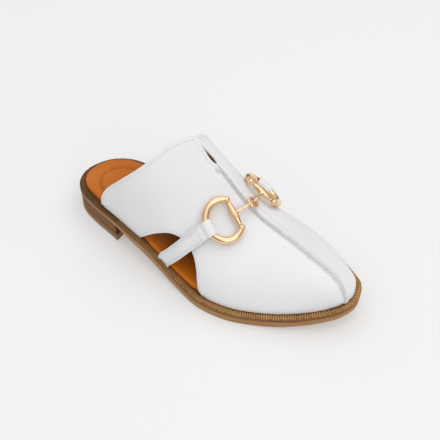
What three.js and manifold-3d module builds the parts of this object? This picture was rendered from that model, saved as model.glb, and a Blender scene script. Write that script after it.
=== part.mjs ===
// A mule shoe for the right foot: open heel, covered toe, low stacked heel, and a snaffle bit
// on the instep that a leather strap on each side holds down to the welt.
// Millimetres. +X points to the toe, +Y to the medial (big toe) side, +Z is up, the floor is z = 0.
// Inside the functions x = 0 is the back of the heel and y = 0 is the line through the heel.

import * as THREE from 'three';
import { mergeVertices } from 'three/addons/utils/BufferGeometryUtils.js';
import Module from 'manifold-3d';

const wasm = await Module();
wasm.setup();

// ---------- driving dimensions ----------

const shoeLength = 252.7;
const heelHeight = 18.1; // floor to the underside of the outsole at the heel
const toeSpring = 12.9; // how far the toe end of the outsole is off the floor
const heelBreast = 57.4; // front face of the heel block
const flatSpotStart = 151.2; // the outsole lies flat on the floor between these two
const flatSpotEnd = 176.8;
const outsoleHeelThickness = 2.6;
const outsoleBallThickness = 6.9;
const weltThickness = 3.4;
const topLiftThickness = 5.6;
const insoleThickness = 3.6;
const wall = 2; // leather and lining of the upper together
const gap = 0.3; // between neighbouring pieces
const throatX = 104; // top corner of the two upper panels
const slitEndX = 127; // lower end of the open slit at the throat
const toeFanX = 195; // in front of this the ribs of the upper fan round the toe

// Half widths of the outsole, measured from the heel line.
const soleTable = [
  { x: 5, medial: 18.5, lateral: 13.8 },
  { x: 14, medial: 28.8, lateral: 21.2 },
  { x: 28, medial: 35.2, lateral: 26.3 },
  { x: 50, medial: 35.2, lateral: 31.6 },
  { x: 75, medial: 29.6, lateral: 38 },
  { x: 102, medial: 25.9, lateral: 42.8 },
  { x: 128, medial: 28.8, lateral: 48.7 },
  { x: 152, medial: 37, lateral: 53.5 },
  { x: 174, medial: 44.6, lateral: 51.8 },
  { x: 195, medial: 48, lateral: 44.6 },
  { x: 213, medial: 45.6, lateral: 36.2 },
  { x: 228, medial: 36.5, lateral: 27 },
  { x: 240, medial: 27.8, lateral: 17.8 },
  { x: 248, medial: 19.8, lateral: 9.3 },
];
const heelTipY = 1;
const toeTipY = 4;

// The seam line down the middle of the upper, from the cone of the last to the toe.
const seamTable = [
  { x: 33, y: 15, z: 120 },
  { x: 60, y: 14, z: 118 },
  { x: 85, y: 12.6, z: 111 },
  { x: 104, y: 11, z: 100.8 },
  { x: 118, y: 9.5, z: 91.6 },
  { x: 131, y: 8.2, z: 83 },
  { x: 143, y: 6.9, z: 74.2 },
  { x: 155, y: 5.7, z: 65.6 },
  { x: 166, y: 4.5, z: 60 },
  { x: 180, y: 3, z: 56.5 },
  { x: 195, y: 1.5, z: 53.5 },
  { x: 212, y: -0.4, z: 49.2 },
  { x: 226, y: -1.8, z: 45.7 },
  { x: 236, y: -2.9, z: 41.6 },
  { x: 242.2, y: -3.5, z: 36 },
  { x: 245.8, y: -3.8, z: 29 },
  { x: 247, y: -4, z: 21.6 },
];

// Shape of the cross section at each seam station, as parts of the distance feather to seam:
// lean = how far the wall leans out, rise = how upright it starts, reach = how flat it meets
// the seam, slope = how many degrees the leather falls away from the seam.
const sectionTable = [
  { x: 33, latLean: 0, latRise: 0.4, latSlope: 50, latReach: 0.3, medLean: 0, medRise: 0.4, medSlope: 50, medReach: 0.3 },
  { x: 70, latLean: 0.03, latRise: 0.4, latSlope: 42, latReach: 0.3, medLean: 0.08, medRise: 0.4, medSlope: 35, medReach: 0.3 },
  { x: 104, latLean: 0.06, latRise: 0.36, latSlope: 34, latReach: 0.3, medLean: 0.17, medRise: 0.41, medSlope: 6, medReach: 0.33 },
  { x: 131, latLean: 0.06, latRise: 0.36, latSlope: 30, latReach: 0.3, medLean: 0.17, medRise: 0.41, medSlope: -5, medReach: 0.34 },
  { x: 155, latLean: 0.06, latRise: 0.38, latSlope: 26, latReach: 0.32, medLean: 0.15, medRise: 0.46, medSlope: -2, medReach: 0.4 },
  { x: 180, latLean: 0.06, latRise: 0.4, latSlope: 20, latReach: 0.36, medLean: 0.08, medRise: 0.45, medSlope: 8, medReach: 0.42 },
  { x: 212, latLean: 0.05, latRise: 0.42, latSlope: 16, latReach: 0.4, medLean: 0, medRise: 0.36, medSlope: 22, medReach: 0.35 },
  { x: 236, latLean: 0.03, latRise: 0.5, latSlope: 12, latReach: 0.42, medLean: 0, medRise: 0.39, medSlope: 20, medReach: 0.39 },
  { x: 247, latLean: 0, latRise: 0.5, latSlope: 5, latReach: 0.45, medLean: 0, medRise: 0.5, medSlope: 5, medReach: 0.45 },
];

// Rear edge of each side of the upper in side view, from the throat down to the heel.
const medialToplineTable = [
  { x: 104.6, z: 100.9 },
  { x: 104.4, z: 97 },
  { x: 103, z: 92 },
  { x: 100, z: 87.2 },
  { x: 95.2, z: 83 },
  { x: 89.3, z: 79.2 },
  { x: 82.8, z: 74.4 },
  { x: 77, z: 69 },
  { x: 67.6, z: 60 },
  { x: 59, z: 50 },
  { x: 50.4, z: 39.5 },
  { x: 44, z: 30 },
  { x: 41.6, z: 22 },
];

const lateralToplineTable = [
  { x: 104, z: 100.9 },
  { x: 100, z: 100.1 },
  { x: 92.5, z: 96.2 },
  { x: 85.6, z: 89.3 },
  { x: 77.5, z: 80.3 },
  { x: 66, z: 68.6 },
  { x: 58.4, z: 60.5 },
  { x: 50.7, z: 52.2 },
  { x: 43.8, z: 43.4 },
  { x: 39.6, z: 35.6 },
  { x: 38, z: 29.5 },
  { x: 37.8, z: 23 },
];

// The arched opening on each side in side view, from its rear corner to its front corner.
const archTable = [
  { x: 84, z: 22 },
  { x: 92, z: 30.6 },
  { x: 99.6, z: 37.9 },
  { x: 107, z: 43 },
  { x: 114, z: 46.2 },
  { x: 121, z: 47 },
  { x: 128.5, z: 45.6 },
  { x: 135, z: 42.4 },
  { x: 140, z: 38 },
  { x: 144.3, z: 31.6 },
  { x: 147, z: 23.5 },
  { x: 149.8, z: 13.5 },
  { x: 154.5, z: 8.5 },
];

// The bit: where each bar's middle lies, which way it points, and where the strap crosses the ring.
const bitTable = [
  { side: 'lateral', bar: [153, -9.4, 64.9], toeward: [18, -6.9, -12.5], strap: [142.1, -27.4, 59.9] },
  { side: 'medial', bar: [158.9, 20.4, 66.6], toeward: [21, 2.9, -14.1], strap: [151.2, 39.6, 53.2] },
];
const bitPeak = new THREE.Vector3(160.2, 5, 68.7); // where the two halves of the bit hook together
const ballSpacing = 23.5;
const ballRadius = 2.6;
const ringWireRadius = 2.1;
const ringHalfWidth = 15.2;
const hoopShift = 1.2; // the hoop hangs this much further to the toe than the bar
const ringDepth = 22;
const barEndRadius = 1.55;
const barMiddleRadius = 2.35;
const barBoreRadius = 1.1;
const pinRadius = 0.8;
const stemRadius = 1;
const eyeRadius = 2.9;
const eyeWireRadius = 1.05;

const strapWidth = 12;
const strapThickness = 2.4;

// The middle of each strap, from its foot on the welt upwards, and the way it faces at its foot
// and where it lies on the vamp.
const strapTable = [
  {
    side: 'lateral',
    out: [-0.12, -0.97, 0.2],
    outHigh: [0.12, -0.76, 0.64],
    middle: [[111.9, -42.1, 17.2], [113.6, -43, 21.8], [119.8, -43.4, 30], [127.6, -42.8, 41], [134, -38.8, 49.3]],
  },
  {
    side: 'medial',
    out: [0.05, 0.99, -0.1],
    outHigh: [0.04, 0.86, 0.5],
    middle: [[121, 25.4, 15], [122.8, 27.6, 20], [127, 31.6, 26], [134.5, 36.8, 33.5], [142.5, 40, 41.7]],
  },
];

// ---------- colours ----------

const colours = {
  leather: { color: 0xf1f1f2, roughness: 0.45, metalness: 0 },
  tan: { color: 0xc47034, roughness: 0.5, metalness: 0 },
  sole: { color: 0x9a6f47, roughness: 0.6, metalness: 0 },
  welt: { color: 0x8a5c30, roughness: 0.6, metalness: 0 },
  heel: { color: 0x8c6340, roughness: 0.6, metalness: 0 },
  gold: { color: 0xd9b27a, roughness: 0.2, metalness: 1 },
};

// ---------- general helpers ----------

function clamp01(value) {
  return Math.min(Math.max(value, 0), 1);
}

function ease(x, from, to) {
  const part = clamp01((x - from) / (to - from));
  return part * part * (3 - 2 * part);
}

// Reads one column of a table smoothly between its rows.
function columnAt(table, column, x) {
  const last = table.length - 1;
  const row = Math.min(Math.max(table.findIndex((entry) => entry.x > x) - 1, 0), last - 1);
  const index = x >= table[last].x ? last - 1 : row;
  const slopeAt = (k) => {
    const before = table[Math.max(k - 1, 0)];
    const after = table[Math.min(k + 1, last)];
    return (after[column] - before[column]) / (after.x - before.x);
  };
  const span = table[index + 1].x - table[index].x;
  const part = clamp01((x - table[index].x) / span);
  const start = table[index][column];
  const end = table[index + 1][column];
  const square = part * part;
  const cube = square * part;
  return (
    (2 * cube - 3 * square + 1) * start +
    (cube - 2 * square + part) * span * slopeAt(index) +
    (3 * square - 2 * cube) * end +
    (cube - square) * span * slopeAt(index + 1)
  );
}

// Skins a list of rings with the same number of points, and closes both ends with a fan.
function skinRings(rings) {
  const positions = [];
  const index = [];
  const count = rings[0].length;
  for (const ring of rings) {
    for (const point of ring) {
      positions.push(point.x, point.y, point.z);
    }
  }
  for (let i = 0; i + 1 < rings.length; i += 1) {
    for (let j = 0; j < count; j += 1) {
      const a = i * count + j;
      const b = i * count + ((j + 1) % count);
      index.push(a, b, a + count, b, b + count, a + count);
    }
  }
  for (const [ring, start, turn] of [[rings[0], 0, true], [rings.at(-1), (rings.length - 1) * count, false]]) {
    const middle = new THREE.Vector3();
    ring.forEach((point) => middle.addScaledVector(point, 1 / count));
    const centre = positions.length / 3;
    positions.push(middle.x, middle.y, middle.z);
    for (let j = 0; j < count; j += 1) {
      const a = start + j;
      const b = start + ((j + 1) % count);
      index.push(centre, turn ? b : a, turn ? a : b);
    }
  }
  const geometry = new THREE.BufferGeometry();
  geometry.setAttribute('position', new THREE.Float32BufferAttribute(positions, 3));
  geometry.setIndex(index);
  return pointOutwards(withoutSlivers(geometry));
}

// Merges shared vertices and drops triangles that have no area left.
function withoutSlivers(geometry) {
  const bare = geometry.clone();
  bare.deleteAttribute('normal');
  bare.deleteAttribute('uv');
  const merged = mergeVertices(bare, 1e-4);
  const kept = [];
  const index = merged.index.array;
  for (let i = 0; i < index.length; i += 3) {
    if (index[i] !== index[i + 1] && index[i + 1] !== index[i + 2] && index[i] !== index[i + 2]) {
      kept.push(index[i], index[i + 1], index[i + 2]);
    }
  }
  merged.setIndex(kept);
  return merged;
}

function signedVolume(geometry) {
  const position = geometry.attributes.position;
  const index = geometry.index.array;
  const corners = [new THREE.Vector3(), new THREE.Vector3(), new THREE.Vector3()];
  let total = 0;
  for (let i = 0; i < index.length; i += 3) {
    corners.forEach((corner, k) => corner.fromBufferAttribute(position, index[i + k]));
    total += corners[0].dot(corners[1].cross(corners[2])) / 6;
  }
  return total;
}

function pointOutwards(geometry) {
  if (signedVolume(geometry) < 0) {
    const index = geometry.index.array;
    for (let i = 0; i < index.length; i += 3) {
      [index[i], index[i + 1]] = [index[i + 1], index[i]];
    }
  }
  return geometry;
}

function toSolid(geometry) {
  const clean = pointOutwards(withoutSlivers(geometry));
  return new wasm.Manifold(new wasm.Mesh({
    numProp: 3,
    vertProperties: new Float32Array(clean.attributes.position.array),
    triVerts: new Uint32Array(clean.index.array),
  }));
}

function fromSolid(solid) {
  const mesh = solid.getMesh();
  const geometry = new THREE.BufferGeometry();
  geometry.setAttribute('position', new THREE.BufferAttribute(new Float32Array(mesh.vertProperties), 3));
  geometry.setIndex(new THREE.BufferAttribute(new Uint32Array(mesh.triVerts), 1));
  return geometry;
}

function join(...geometries) {
  return fromSolid(geometries.map(toSolid).reduce((all, next) => all.add(next)));
}

function cut(body, ...tools) {
  return fromSolid(tools.map(toSolid).reduce((rest, tool) => rest.subtract(tool), toSolid(body)));
}

function makePiece(name, geometry, colour) {
  geometry.computeVertexNormals();
  const piece = new THREE.Mesh(geometry, new THREE.MeshStandardMaterial(colour));
  piece.name = name;
  return piece;
}

// ---------- the sole's outline and levels ----------

const outline = new THREE.CatmullRomCurve3(
  [
    new THREE.Vector3(0, heelTipY, 0),
    ...soleTable.map((row) => new THREE.Vector3(row.x, row.medial, 0)),
    new THREE.Vector3(shoeLength, toeTipY, 0),
    ...soleTable.map((row) => new THREE.Vector3(row.x, -row.lateral, 0)).reverse(),
  ],
  true,
  'centripetal',
).getPoints(900).slice(0, -1);

// The outline moved inwards by a distance that may change along the shoe.
function insetOutline(insetAt) {
  return outline.map((point, k) => {
    const before = outline.at(k - 1);
    const after = outline[(k + 1) % outline.length];
    const along = after.clone().sub(before).normalize();
    const inset = insetAt(point.x);
    return new THREE.Vector3(point.x + along.y * inset, point.y - along.x * inset, 0);
  });
}

// Splits a closed outline into its two sides, each from the heel to the given toe point.
function splitOutline(closed, toeIndex) {
  const heelIndex = closed.reduce((best, point, k) => (point.x < closed[best].x ? k : best), 0);
  const turned = [...closed.slice(heelIndex), ...closed.slice(0, heelIndex)];
  const toe = (toeIndex - heelIndex + closed.length) % closed.length;
  return {
    medial: turned.slice(0, toe + 1),
    lateral: [...turned.slice(toe), turned[0]].reverse(),
  };
}

function foremost(closed) {
  return closed.reduce((best, point, k) => (point.x > closed[best].x ? k : best), 0);
}

function sideAt(side, x) {
  const next = side.findIndex((point) => point.x >= x);
  if (next <= 0) {
    return (next === 0 ? side[0] : side.at(-1)).y;
  }
  const part = (x - side[next - 1].x) / (side[next].x - side[next - 1].x);
  return THREE.MathUtils.lerp(side[next - 1].y, side[next].y, part);
}

function outsoleBottom(x) {
  const spring = clamp01((x - flatSpotEnd) / (shoeLength + 0.9 - flatSpotEnd));
  return heelHeight * (1 - ease(x, heelBreast, flatSpotStart)) + toeSpring * spring * spring;
}

function outsoleTop(x) {
  const thickening = ease(x, 48, 108);
  return outsoleBottom(x) + THREE.MathUtils.lerp(outsoleHeelThickness, outsoleBallThickness, thickening);
}

function weltTop(x) {
  return outsoleTop(x) + weltThickness;
}

// ---------- slabs that follow the outline ----------

const endSteps = [0.15, 1, 2.6, 5, 8, 12];
const roundEnd = 14; // the inset sides close up over this length at the heel and the toe

function slabStations(from, to) {
  const stations = new Set([heelBreast, flatSpotStart, flatSpotEnd]);
  endSteps.forEach((step) => stations.add(step).add(shoeLength - step));
  for (let x = 18; x < shoeLength - 14; x += 6.6) {
    stations.add(x);
  }
  stations.add(to);
  const inside = [...stations].filter((x) => x >= from && x <= to).sort((a, b) => a - b);
  return inside.filter((x, k) => k === 0 || x - inside[k - 1] > 0.6);
}

// profile: corners from the bottom to the top, each with its inset and its level along the shoe.
function slab(profile, from = 0, to = shoeLength) {
  const sides = profile.map((corner) => {
    const closed = insetOutline(corner.inset);
    return splitOutline(closed, foremost(closed));
  });
  const rings = slabStations(from, to).map((station) => {
    const corners = profile.map((corner, k) => {
      const heelEnd = Math.max(0, 1 - station / roundEnd);
      const toeEnd = Math.max(0, 1 - (shoeLength - station) / roundEnd);
      const x = station + corner.inset(station) * (heelEnd - toeEnd);
      return {
        medial: new THREE.Vector3(x, sideAt(sides[k].medial, x), corner.level(x)),
        lateral: new THREE.Vector3(x, sideAt(sides[k].lateral, x), corner.level(x)),
      };
    });
    return [...corners.map((corner) => corner.medial), ...corners.map((corner) => corner.lateral).reverse()];
  });
  return skinRings(rings);
}

function evenInset(distance) {
  return () => distance;
}

function makeOutsole() {
  return slab([
    { inset: evenInset(1.4), level: outsoleBottom },
    { inset: evenInset(0), level: (x) => outsoleBottom(x) + 1.1 },
    { inset: evenInset(0), level: (x) => outsoleTop(x) - 0.5 },
    { inset: evenInset(0.6), level: outsoleTop },
  ]);
}

function makeWelt() {
  return slab([
    { inset: evenInset(0.5), level: (x) => outsoleTop(x) + gap },
    { inset: evenInset(0), level: (x) => outsoleTop(x) + gap + 0.4 },
    { inset: evenInset(0), level: (x) => weltTop(x) - 0.8 },
    { inset: evenInset(0.8), level: weltTop },
  ]);
}

function makeHeelStack() {
  return slab([
    { inset: evenInset(0.8), level: () => topLiftThickness + gap },
    { inset: evenInset(0.1), level: () => heelHeight - gap },
  ], 0, heelBreast);
}

function makeTopLift() {
  return slab([
    { inset: evenInset(1.4), level: () => 0 },
    { inset: evenInset(1), level: () => 0.6 },
    { inset: evenInset(0.8), level: () => topLiftThickness },
  ], 0, heelBreast);
}

// The insole shows at the heel and in the side openings, and goes under the vamp in front.
function insoleInset(x) {
  return THREE.MathUtils.lerp(5.5, 6.7, ease(x, 110, 150));
}

function makeInsole() {
  return slab([
    { inset: insoleInset, level: (x) => weltTop(x) + gap },
    { inset: insoleInset, level: (x) => weltTop(x) + insoleThickness - 1.2 },
    { inset: (x) => insoleInset(x) + 1.3, level: (x) => weltTop(x) + insoleThickness },
  ]);
}

// ---------- the upper ----------

const upperBack = 33;
const seam = new THREE.CatmullRomCurve3(
  seamTable.map((row) => new THREE.Vector3(row.x, row.y, row.z)),
  false,
  'centripetal',
).getPoints(480);

function upperInset(x) {
  return THREE.MathUtils.lerp(3.2, 4.1, ease(x, 110, 150));
}

// Gives the point of a line at a step: steps 0 to 1 go by x to the toe fan, 1 to 2 by length.
function walkLine(line) {
  const turn = line.findIndex((point) => point.x >= toeFanX);
  const tail = line.slice(turn);
  const lengths = tail.map(() => 0);
  for (let k = 1; k < tail.length; k += 1) {
    lengths[k] = lengths[k - 1] + tail[k].distanceTo(tail[k - 1]);
  }
  const between = (points, k, part) => points[k - 1].clone().lerp(points[k], part);
  return (step) => {
    if (step <= 1) {
      const x = THREE.MathUtils.lerp(upperBack, toeFanX, step);
      const next = Math.max(line.findIndex((point) => point.x >= x), 1);
      return between(line, next, (x - line[next - 1].x) / (line[next].x - line[next - 1].x));
    }
    const goal = Math.min(step - 1, 1) * lengths.at(-1);
    const next = Math.max(lengths.findIndex((length) => length >= goal - 1e-9), 1);
    return between(tail, next, (goal - lengths[next - 1]) / (lengths[next] - lengths[next - 1]));
  };
}

const feather = insetOutline(upperInset).map((point) => point.setZ(weltTop(point.x) + gap));
const seamEnd = seam.at(-1);
const seamEndIndex = feather.reduce(
  (best, point, k) => (point.distanceTo(seamEnd) < feather[best].distanceTo(seamEnd) ? k : best),
  0,
);
const featherSides = splitOutline(feather, seamEndIndex);
const alongSeam = walkLine(seam);
const alongFeather = {
  lateral: walkLine(featherSides.lateral),
  medial: walkLine(featherSides.medial),
};

const upVector = new THREE.Vector3(0, 0, 1);

// One rib of the last's surface, from the feather edge up to the seam, as a cubic curve.
function upperRib(sideName, step, pieces) {
  const nudge = 0.004;
  const sign = sideName === 'lateral' ? -1 : 1;
  const key = sideName === 'lateral' ? 'lat' : 'med';
  const foot = alongFeather[sideName](step);
  const top = alongSeam(step);
  const reach = foot.distanceTo(top);
  const row = (column) => columnAt(sectionTable, key + column, top.x);
  const footAlong = alongFeather[sideName](Math.min(step + nudge, 2))
    .sub(alongFeather[sideName](Math.max(step - nudge, 0))).setZ(0).normalize();
  const outwards = new THREE.Vector3(-footAlong.y * sign, footAlong.x * sign, 0);
  const seamAlong = alongSeam(Math.min(step + nudge, 2)).sub(alongSeam(Math.max(step - nudge, 0))).normalize();
  const sideways = new THREE.Vector3(0, sign, 0);
  sideways.addScaledVector(seamAlong, -sideways.dot(seamAlong)).normalize();
  const seamNormal = new THREE.Vector3().crossVectors(sideways, seamAlong).multiplyScalar(-sign);
  const slope = THREE.MathUtils.degToRad(row('Slope'));
  const leave = sideways.multiplyScalar(Math.cos(slope)).addScaledVector(seamNormal, -Math.sin(slope));
  const curve = new THREE.CubicBezierCurve3(
    foot,
    foot.clone().addScaledVector(outwards, row('Lean') * reach).addScaledVector(upVector, row('Rise') * reach),
    top.clone().addScaledVector(leave, row('Reach') * reach),
    top,
  );
  return curve.getPoints(pieces);
}

// The grid of points of the outer surface: each row goes lateral feather, seam, medial feather.
function upperGrid(rearSteps, toeSteps, pieces) {
  const steps = [];
  for (let k = 0; k < rearSteps; k += 1) {
    steps.push(k / rearSteps);
  }
  for (let k = 0; k <= toeSteps; k += 1) {
    steps.push(1 + k / toeSteps);
  }
  return steps.map((step) => [
    ...upperRib('lateral', step, pieces),
    ...upperRib('medial', step, pieces).reverse().slice(1),
  ]);
}

// Moves every point of the grid inwards by the wall, square to the surface.
function innerGrid(grid) {
  const lastRow = grid.length - 1;
  return grid.map((row, i) => row.map((point, j) => {
    const steady = Math.min(i, lastRow - 1);
    const along = grid[Math.min(steady + 1, lastRow)][j].clone().sub(grid[Math.max(steady - 1, 0)][j]);
    const across = grid[steady][Math.min(j + 1, row.length - 1)].clone().sub(grid[steady][Math.max(j - 1, 0)]);
    const inwards = across.cross(along).normalize();
    return point.clone().addScaledVector(inwards, wall);
  }));
}

// Carries the inner grid down through the open bottom and back through the open heel.
function innerTool(grid) {
  const below = 9;
  const rings = grid.map((row) => [
    row[0].clone().setZ(row[0].z - below),
    ...row,
    row.at(-1).clone().setZ(row.at(-1).z - below),
  ]);
  const back = rings[0].map((point) => point.clone().setX(point.x - below));
  return skinRings([back, ...rings]);
}

// A prism that runs across the shoe, drawn in side view.
function sidePrism(points, yFrom, yTo) {
  const shape = new THREE.Shape(points.map(([x, z]) => new THREE.Vector2(x, z)));
  const prism = new THREE.ExtrudeGeometry(shape, { depth: yTo - yFrom, bevelEnabled: false, steps: 1 });
  prism.rotateX(Math.PI / 2);
  prism.translate(0, yTo, 0);
  return prism;
}

function smoothSideView(table, count) {
  const curve = new THREE.CatmullRomCurve3(
    table.map((row) => new THREE.Vector3(row.x, 0, row.z)),
    false,
    'centripetal',
  );
  return curve.getPoints(count).map((point) => [point.x, point.z]);
}

function toplineTool(table, yFrom, yTo) {
  const edge = smoothSideView(table, 44);
  return sidePrism([[throatX + 6, 150], ...edge, [edge.at(-1)[0], 5], [5, 5], [5, 150]], yFrom, yTo);
}

function archTool() {
  const edge = smoothSideView(archTable, 44);
  return sidePrism([[edge[0][0] - 2, 3], ...edge, [edge.at(-1)[0], 3]], -80, 80);
}

// The slit between the panels: nearly closed at the top, a narrow leaf shape lower down.
function slitTool() {
  const left = [];
  const right = [];
  for (let x = throatX - 12; x <= slitEndX; x += 1) {
    const y = columnAt(seamTable, 'y', x);
    const swell = Math.sin(Math.PI * clamp01((x - throatX) / (slitEndX - throatX)) ** 1.6);
    const halfWidth = 0.3 + 0.9 * swell;
    left.push(new THREE.Vector2(x, y + halfWidth));
    right.push(new THREE.Vector2(x, y - halfWidth));
  }
  const tool = new THREE.ExtrudeGeometry(new THREE.Shape([...right, ...left.reverse()]), {
    depth: 70,
    bevelEnabled: false,
    steps: 1,
  });
  tool.translate(0, 0, 75);
  return tool;
}

function makeUpper() {
  const grid = upperGrid(27, 14, 11);
  const middle = columnAt(seamTable, 'y', throatX);
  return cut(
    skinRings(grid),
    innerTool(innerGrid(grid)),
    toplineTool(lateralToplineTable, -80, middle),
    toplineTool(medialToplineTable, middle - 0.2, 80),
    archTool(),
    slitTool(),
  );
}

// ---------- the bit ----------

// Axes of a half bit: x along its bar, y square to the bar and nearest to inward, z off the foot.
function barFrame(row, inward) {
  const along = new THREE.Vector3(...row.toeward).normalize();
  if (row.side === 'medial') {
    along.negate();
  }
  const across = inward.clone().addScaledVector(along, -inward.dot(along)).normalize();
  const out = new THREE.Vector3().crossVectors(along, across);
  return new THREE.Matrix4().makeBasis(along, across, out).setPosition(new THREE.Vector3(...row.bar));
}

// The hoop of the ring is laid from the bar towards the strap.
function ringFrame(row) {
  return barFrame(row, new THREE.Vector3(...row.bar).sub(new THREE.Vector3(...row.strap)));
}

function wireAlong(points, radius, steps, sides) {
  const section = new THREE.Shape();
  for (let k = 0; k < sides; k += 1) {
    const turn = (2 * Math.PI * k) / sides;
    const draw = k === 0 ? 'moveTo' : 'lineTo';
    section[draw](radius * Math.cos(turn), radius * Math.sin(turn));
  }
  section.closePath();
  const path = new THREE.CatmullRomCurve3(points, false, 'centripetal');
  return new THREE.ExtrudeGeometry(section, { steps, bevelEnabled: false, extrudePath: path });
}

function ballAt(x, y) {
  const ball = new THREE.SphereGeometry(ballRadius, 12, 7);
  ball.translate(x, y, 0);
  return ball;
}

function cylinderAlongX(radius, length, sides) {
  const cylinder = new THREE.CylinderGeometry(radius, radius, length, sides);
  cylinder.rotateZ(Math.PI / 2);
  return cylinder;
}

// A D-shaped ring: a thick hoop with a ball at each end and a pin between the balls.
function makeRing(row) {
  const shift = row.side === 'medial' ? -hoopShift : hoopShift;
  const half = ballSpacing / 2;
  const hoop = [new THREE.Vector3(-half, 0, 0)];
  const waist = -ringDepth * 0.36; // where the hoop is widest
  const squareness = 0.92; // 1 is an ellipse, less is flatter under the strap
  for (let degrees = -12; degrees <= 192; degrees += 17) {
    const turn = THREE.MathUtils.degToRad(180 + degrees);
    const depth = ringDepth + waist;
    const across = Math.sign(Math.cos(turn)) * Math.abs(Math.cos(turn)) ** squareness;
    const down = Math.sign(Math.sin(turn)) * Math.abs(Math.sin(turn)) ** squareness;
    hoop.push(new THREE.Vector3(ringHalfWidth * across + shift, waist + depth * down, 0));
  }
  hoop.push(new THREE.Vector3(half, 0, 0));
  return join(
    wireAlong(hoop, ringWireRadius, 34, 9),
    ballAt(-half, 0),
    ballAt(half, 0),
    cylinderAlongX(pinRadius, ballSpacing, 10),
  );
}

// A barrel that sits on the ring's pin, with a stem that ends in an eye.
function makeLink(row, eyeCentre, eyeNormal) {
  const bar = new THREE.Vector3(...row.bar);
  const inward = eyeCentre.clone().sub(bar);
  const frame = barFrame(row, inward);
  const barrelHalf = ballSpacing / 2 - ballRadius - gap;
  const profile = [new THREE.Vector2(0, -barrelHalf)];
  for (let k = 0; k <= 8; k += 1) {
    const along = -1 + k / 4;
    const radius = THREE.MathUtils.lerp(barMiddleRadius, barEndRadius, along * along);
    profile.push(new THREE.Vector2(radius, along * barrelHalf));
  }
  profile.push(new THREE.Vector2(0, barrelHalf));
  const barrel = new THREE.LatheGeometry(profile, 14);
  barrel.rotateZ(Math.PI / 2);
  barrel.applyMatrix4(frame);
  const bore = cylinderAlongX(barBoreRadius, ballSpacing, 12);
  bore.applyMatrix4(frame);
  const upAxis = new THREE.Vector3(0, 1, 0);
  const inPlane = inward.clone().addScaledVector(eyeNormal, -inward.dot(eyeNormal)).normalize();
  const stemEnd = eyeCentre.clone().addScaledVector(inPlane, -eyeRadius);
  const stemWay = stemEnd.clone().sub(bar);
  const stemLength = stemWay.length() - barBoreRadius - 0.6;
  const stem = new THREE.CylinderGeometry(stemRadius, stemRadius * 1.15, stemLength, 10);
  stemWay.normalize();
  stem.applyQuaternion(new THREE.Quaternion().setFromUnitVectors(upAxis, stemWay));
  stem.translate(...stemEnd.addScaledVector(stemWay, -stemLength / 2).toArray());
  const eye = new THREE.TorusGeometry(eyeRadius, eyeWireRadius, 10, 22);
  eye.applyQuaternion(new THREE.Quaternion().setFromUnitVectors(upVector, eyeNormal));
  eye.translate(...eyeCentre.toArray());
  return cut(join(barrel, stem, eye), bore);
}

// ---------- the straps ----------

// A doubled band that runs up from the welt and ends in a loop round the ring's wire.
function makeStrap(row, ringMatrix) {
  const toewards = row.side === 'medial' ? -1 : 1;
  const wire = new THREE.Vector3(hoopShift * toewards, 0.45 - ringDepth, 0).applyMatrix4(ringMatrix);
  const ringOut = new THREE.Vector3().setFromMatrixColumn(ringMatrix, 2);
  const ringInward = new THREE.Vector3().setFromMatrixColumn(ringMatrix, 1);
  const lead = wire.clone().addScaledVector(ringInward, -4.5).addScaledVector(ringOut, -1.1);
  const middle = row.middle.map((point) => new THREE.Vector3(...point));
  const path = new THREE.CatmullRomCurve3([...middle, lead, wire], false, 'centripetal');
  const half = strapThickness / 2;
  const holeRadius = ringWireRadius + 0.8;
  const loopRadius = holeRadius + half;
  const footOut = new THREE.Vector3(...row.out).normalize();
  const highOut = new THREE.Vector3(...row.outHigh).normalize();
  const lastPart = 1 - (holeRadius + 0.5) / path.getLength();
  const steps = 16;
  const rings = [];
  for (let k = 0; k <= steps; k += 1) {
    const part = (lastPart * k) / steps;
    const along = path.getTangentAt(part);
    const out = footOut.clone().lerp(highOut, ease(part, 0, 0.65)).lerp(ringOut, ease(part, 0.7, 1));
    out.addScaledVector(along, -out.dot(along)).normalize();
    const across = new THREE.Vector3().crossVectors(along, out);
    const corners = [[-half, -1], [half, -1], [half, 0], [half, 1], [-half, 1], [-half, 0]];
    rings.push(corners.map(([height, side]) => {
      const point = path.getPointAt(part).addScaledVector(out, height);
      point.addScaledVector(across, (side * strapWidth) / 2);
      return k === 0 ? point.setZ(weltTop(point.x) + gap + 0.1) : point;
    }));
  }
  const frame = ringMatrix.clone().setPosition(wire);
  const sleeve = cylinderAlongX(loopRadius, strapWidth, 20);
  const hole = cylinderAlongX(holeRadius, strapWidth + 2, 20);
  return cut(join(skinRings(rings), sleeve.applyMatrix4(frame)), hole.applyMatrix4(frame));
}

// ---------- the shoe ----------

const shoe = new THREE.Group();
shoe.add(
  makePiece('outsole', makeOutsole(), colours.sole),
  makePiece('welt', makeWelt(), colours.welt),
  makePiece('heel_stack', makeHeelStack(), colours.heel),
  makePiece('top_lift', makeTopLift(), colours.heel),
  makePiece('insole', makeInsole(), colours.tan),
  makePiece('upper', makeUpper(), colours.leather),
);

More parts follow.
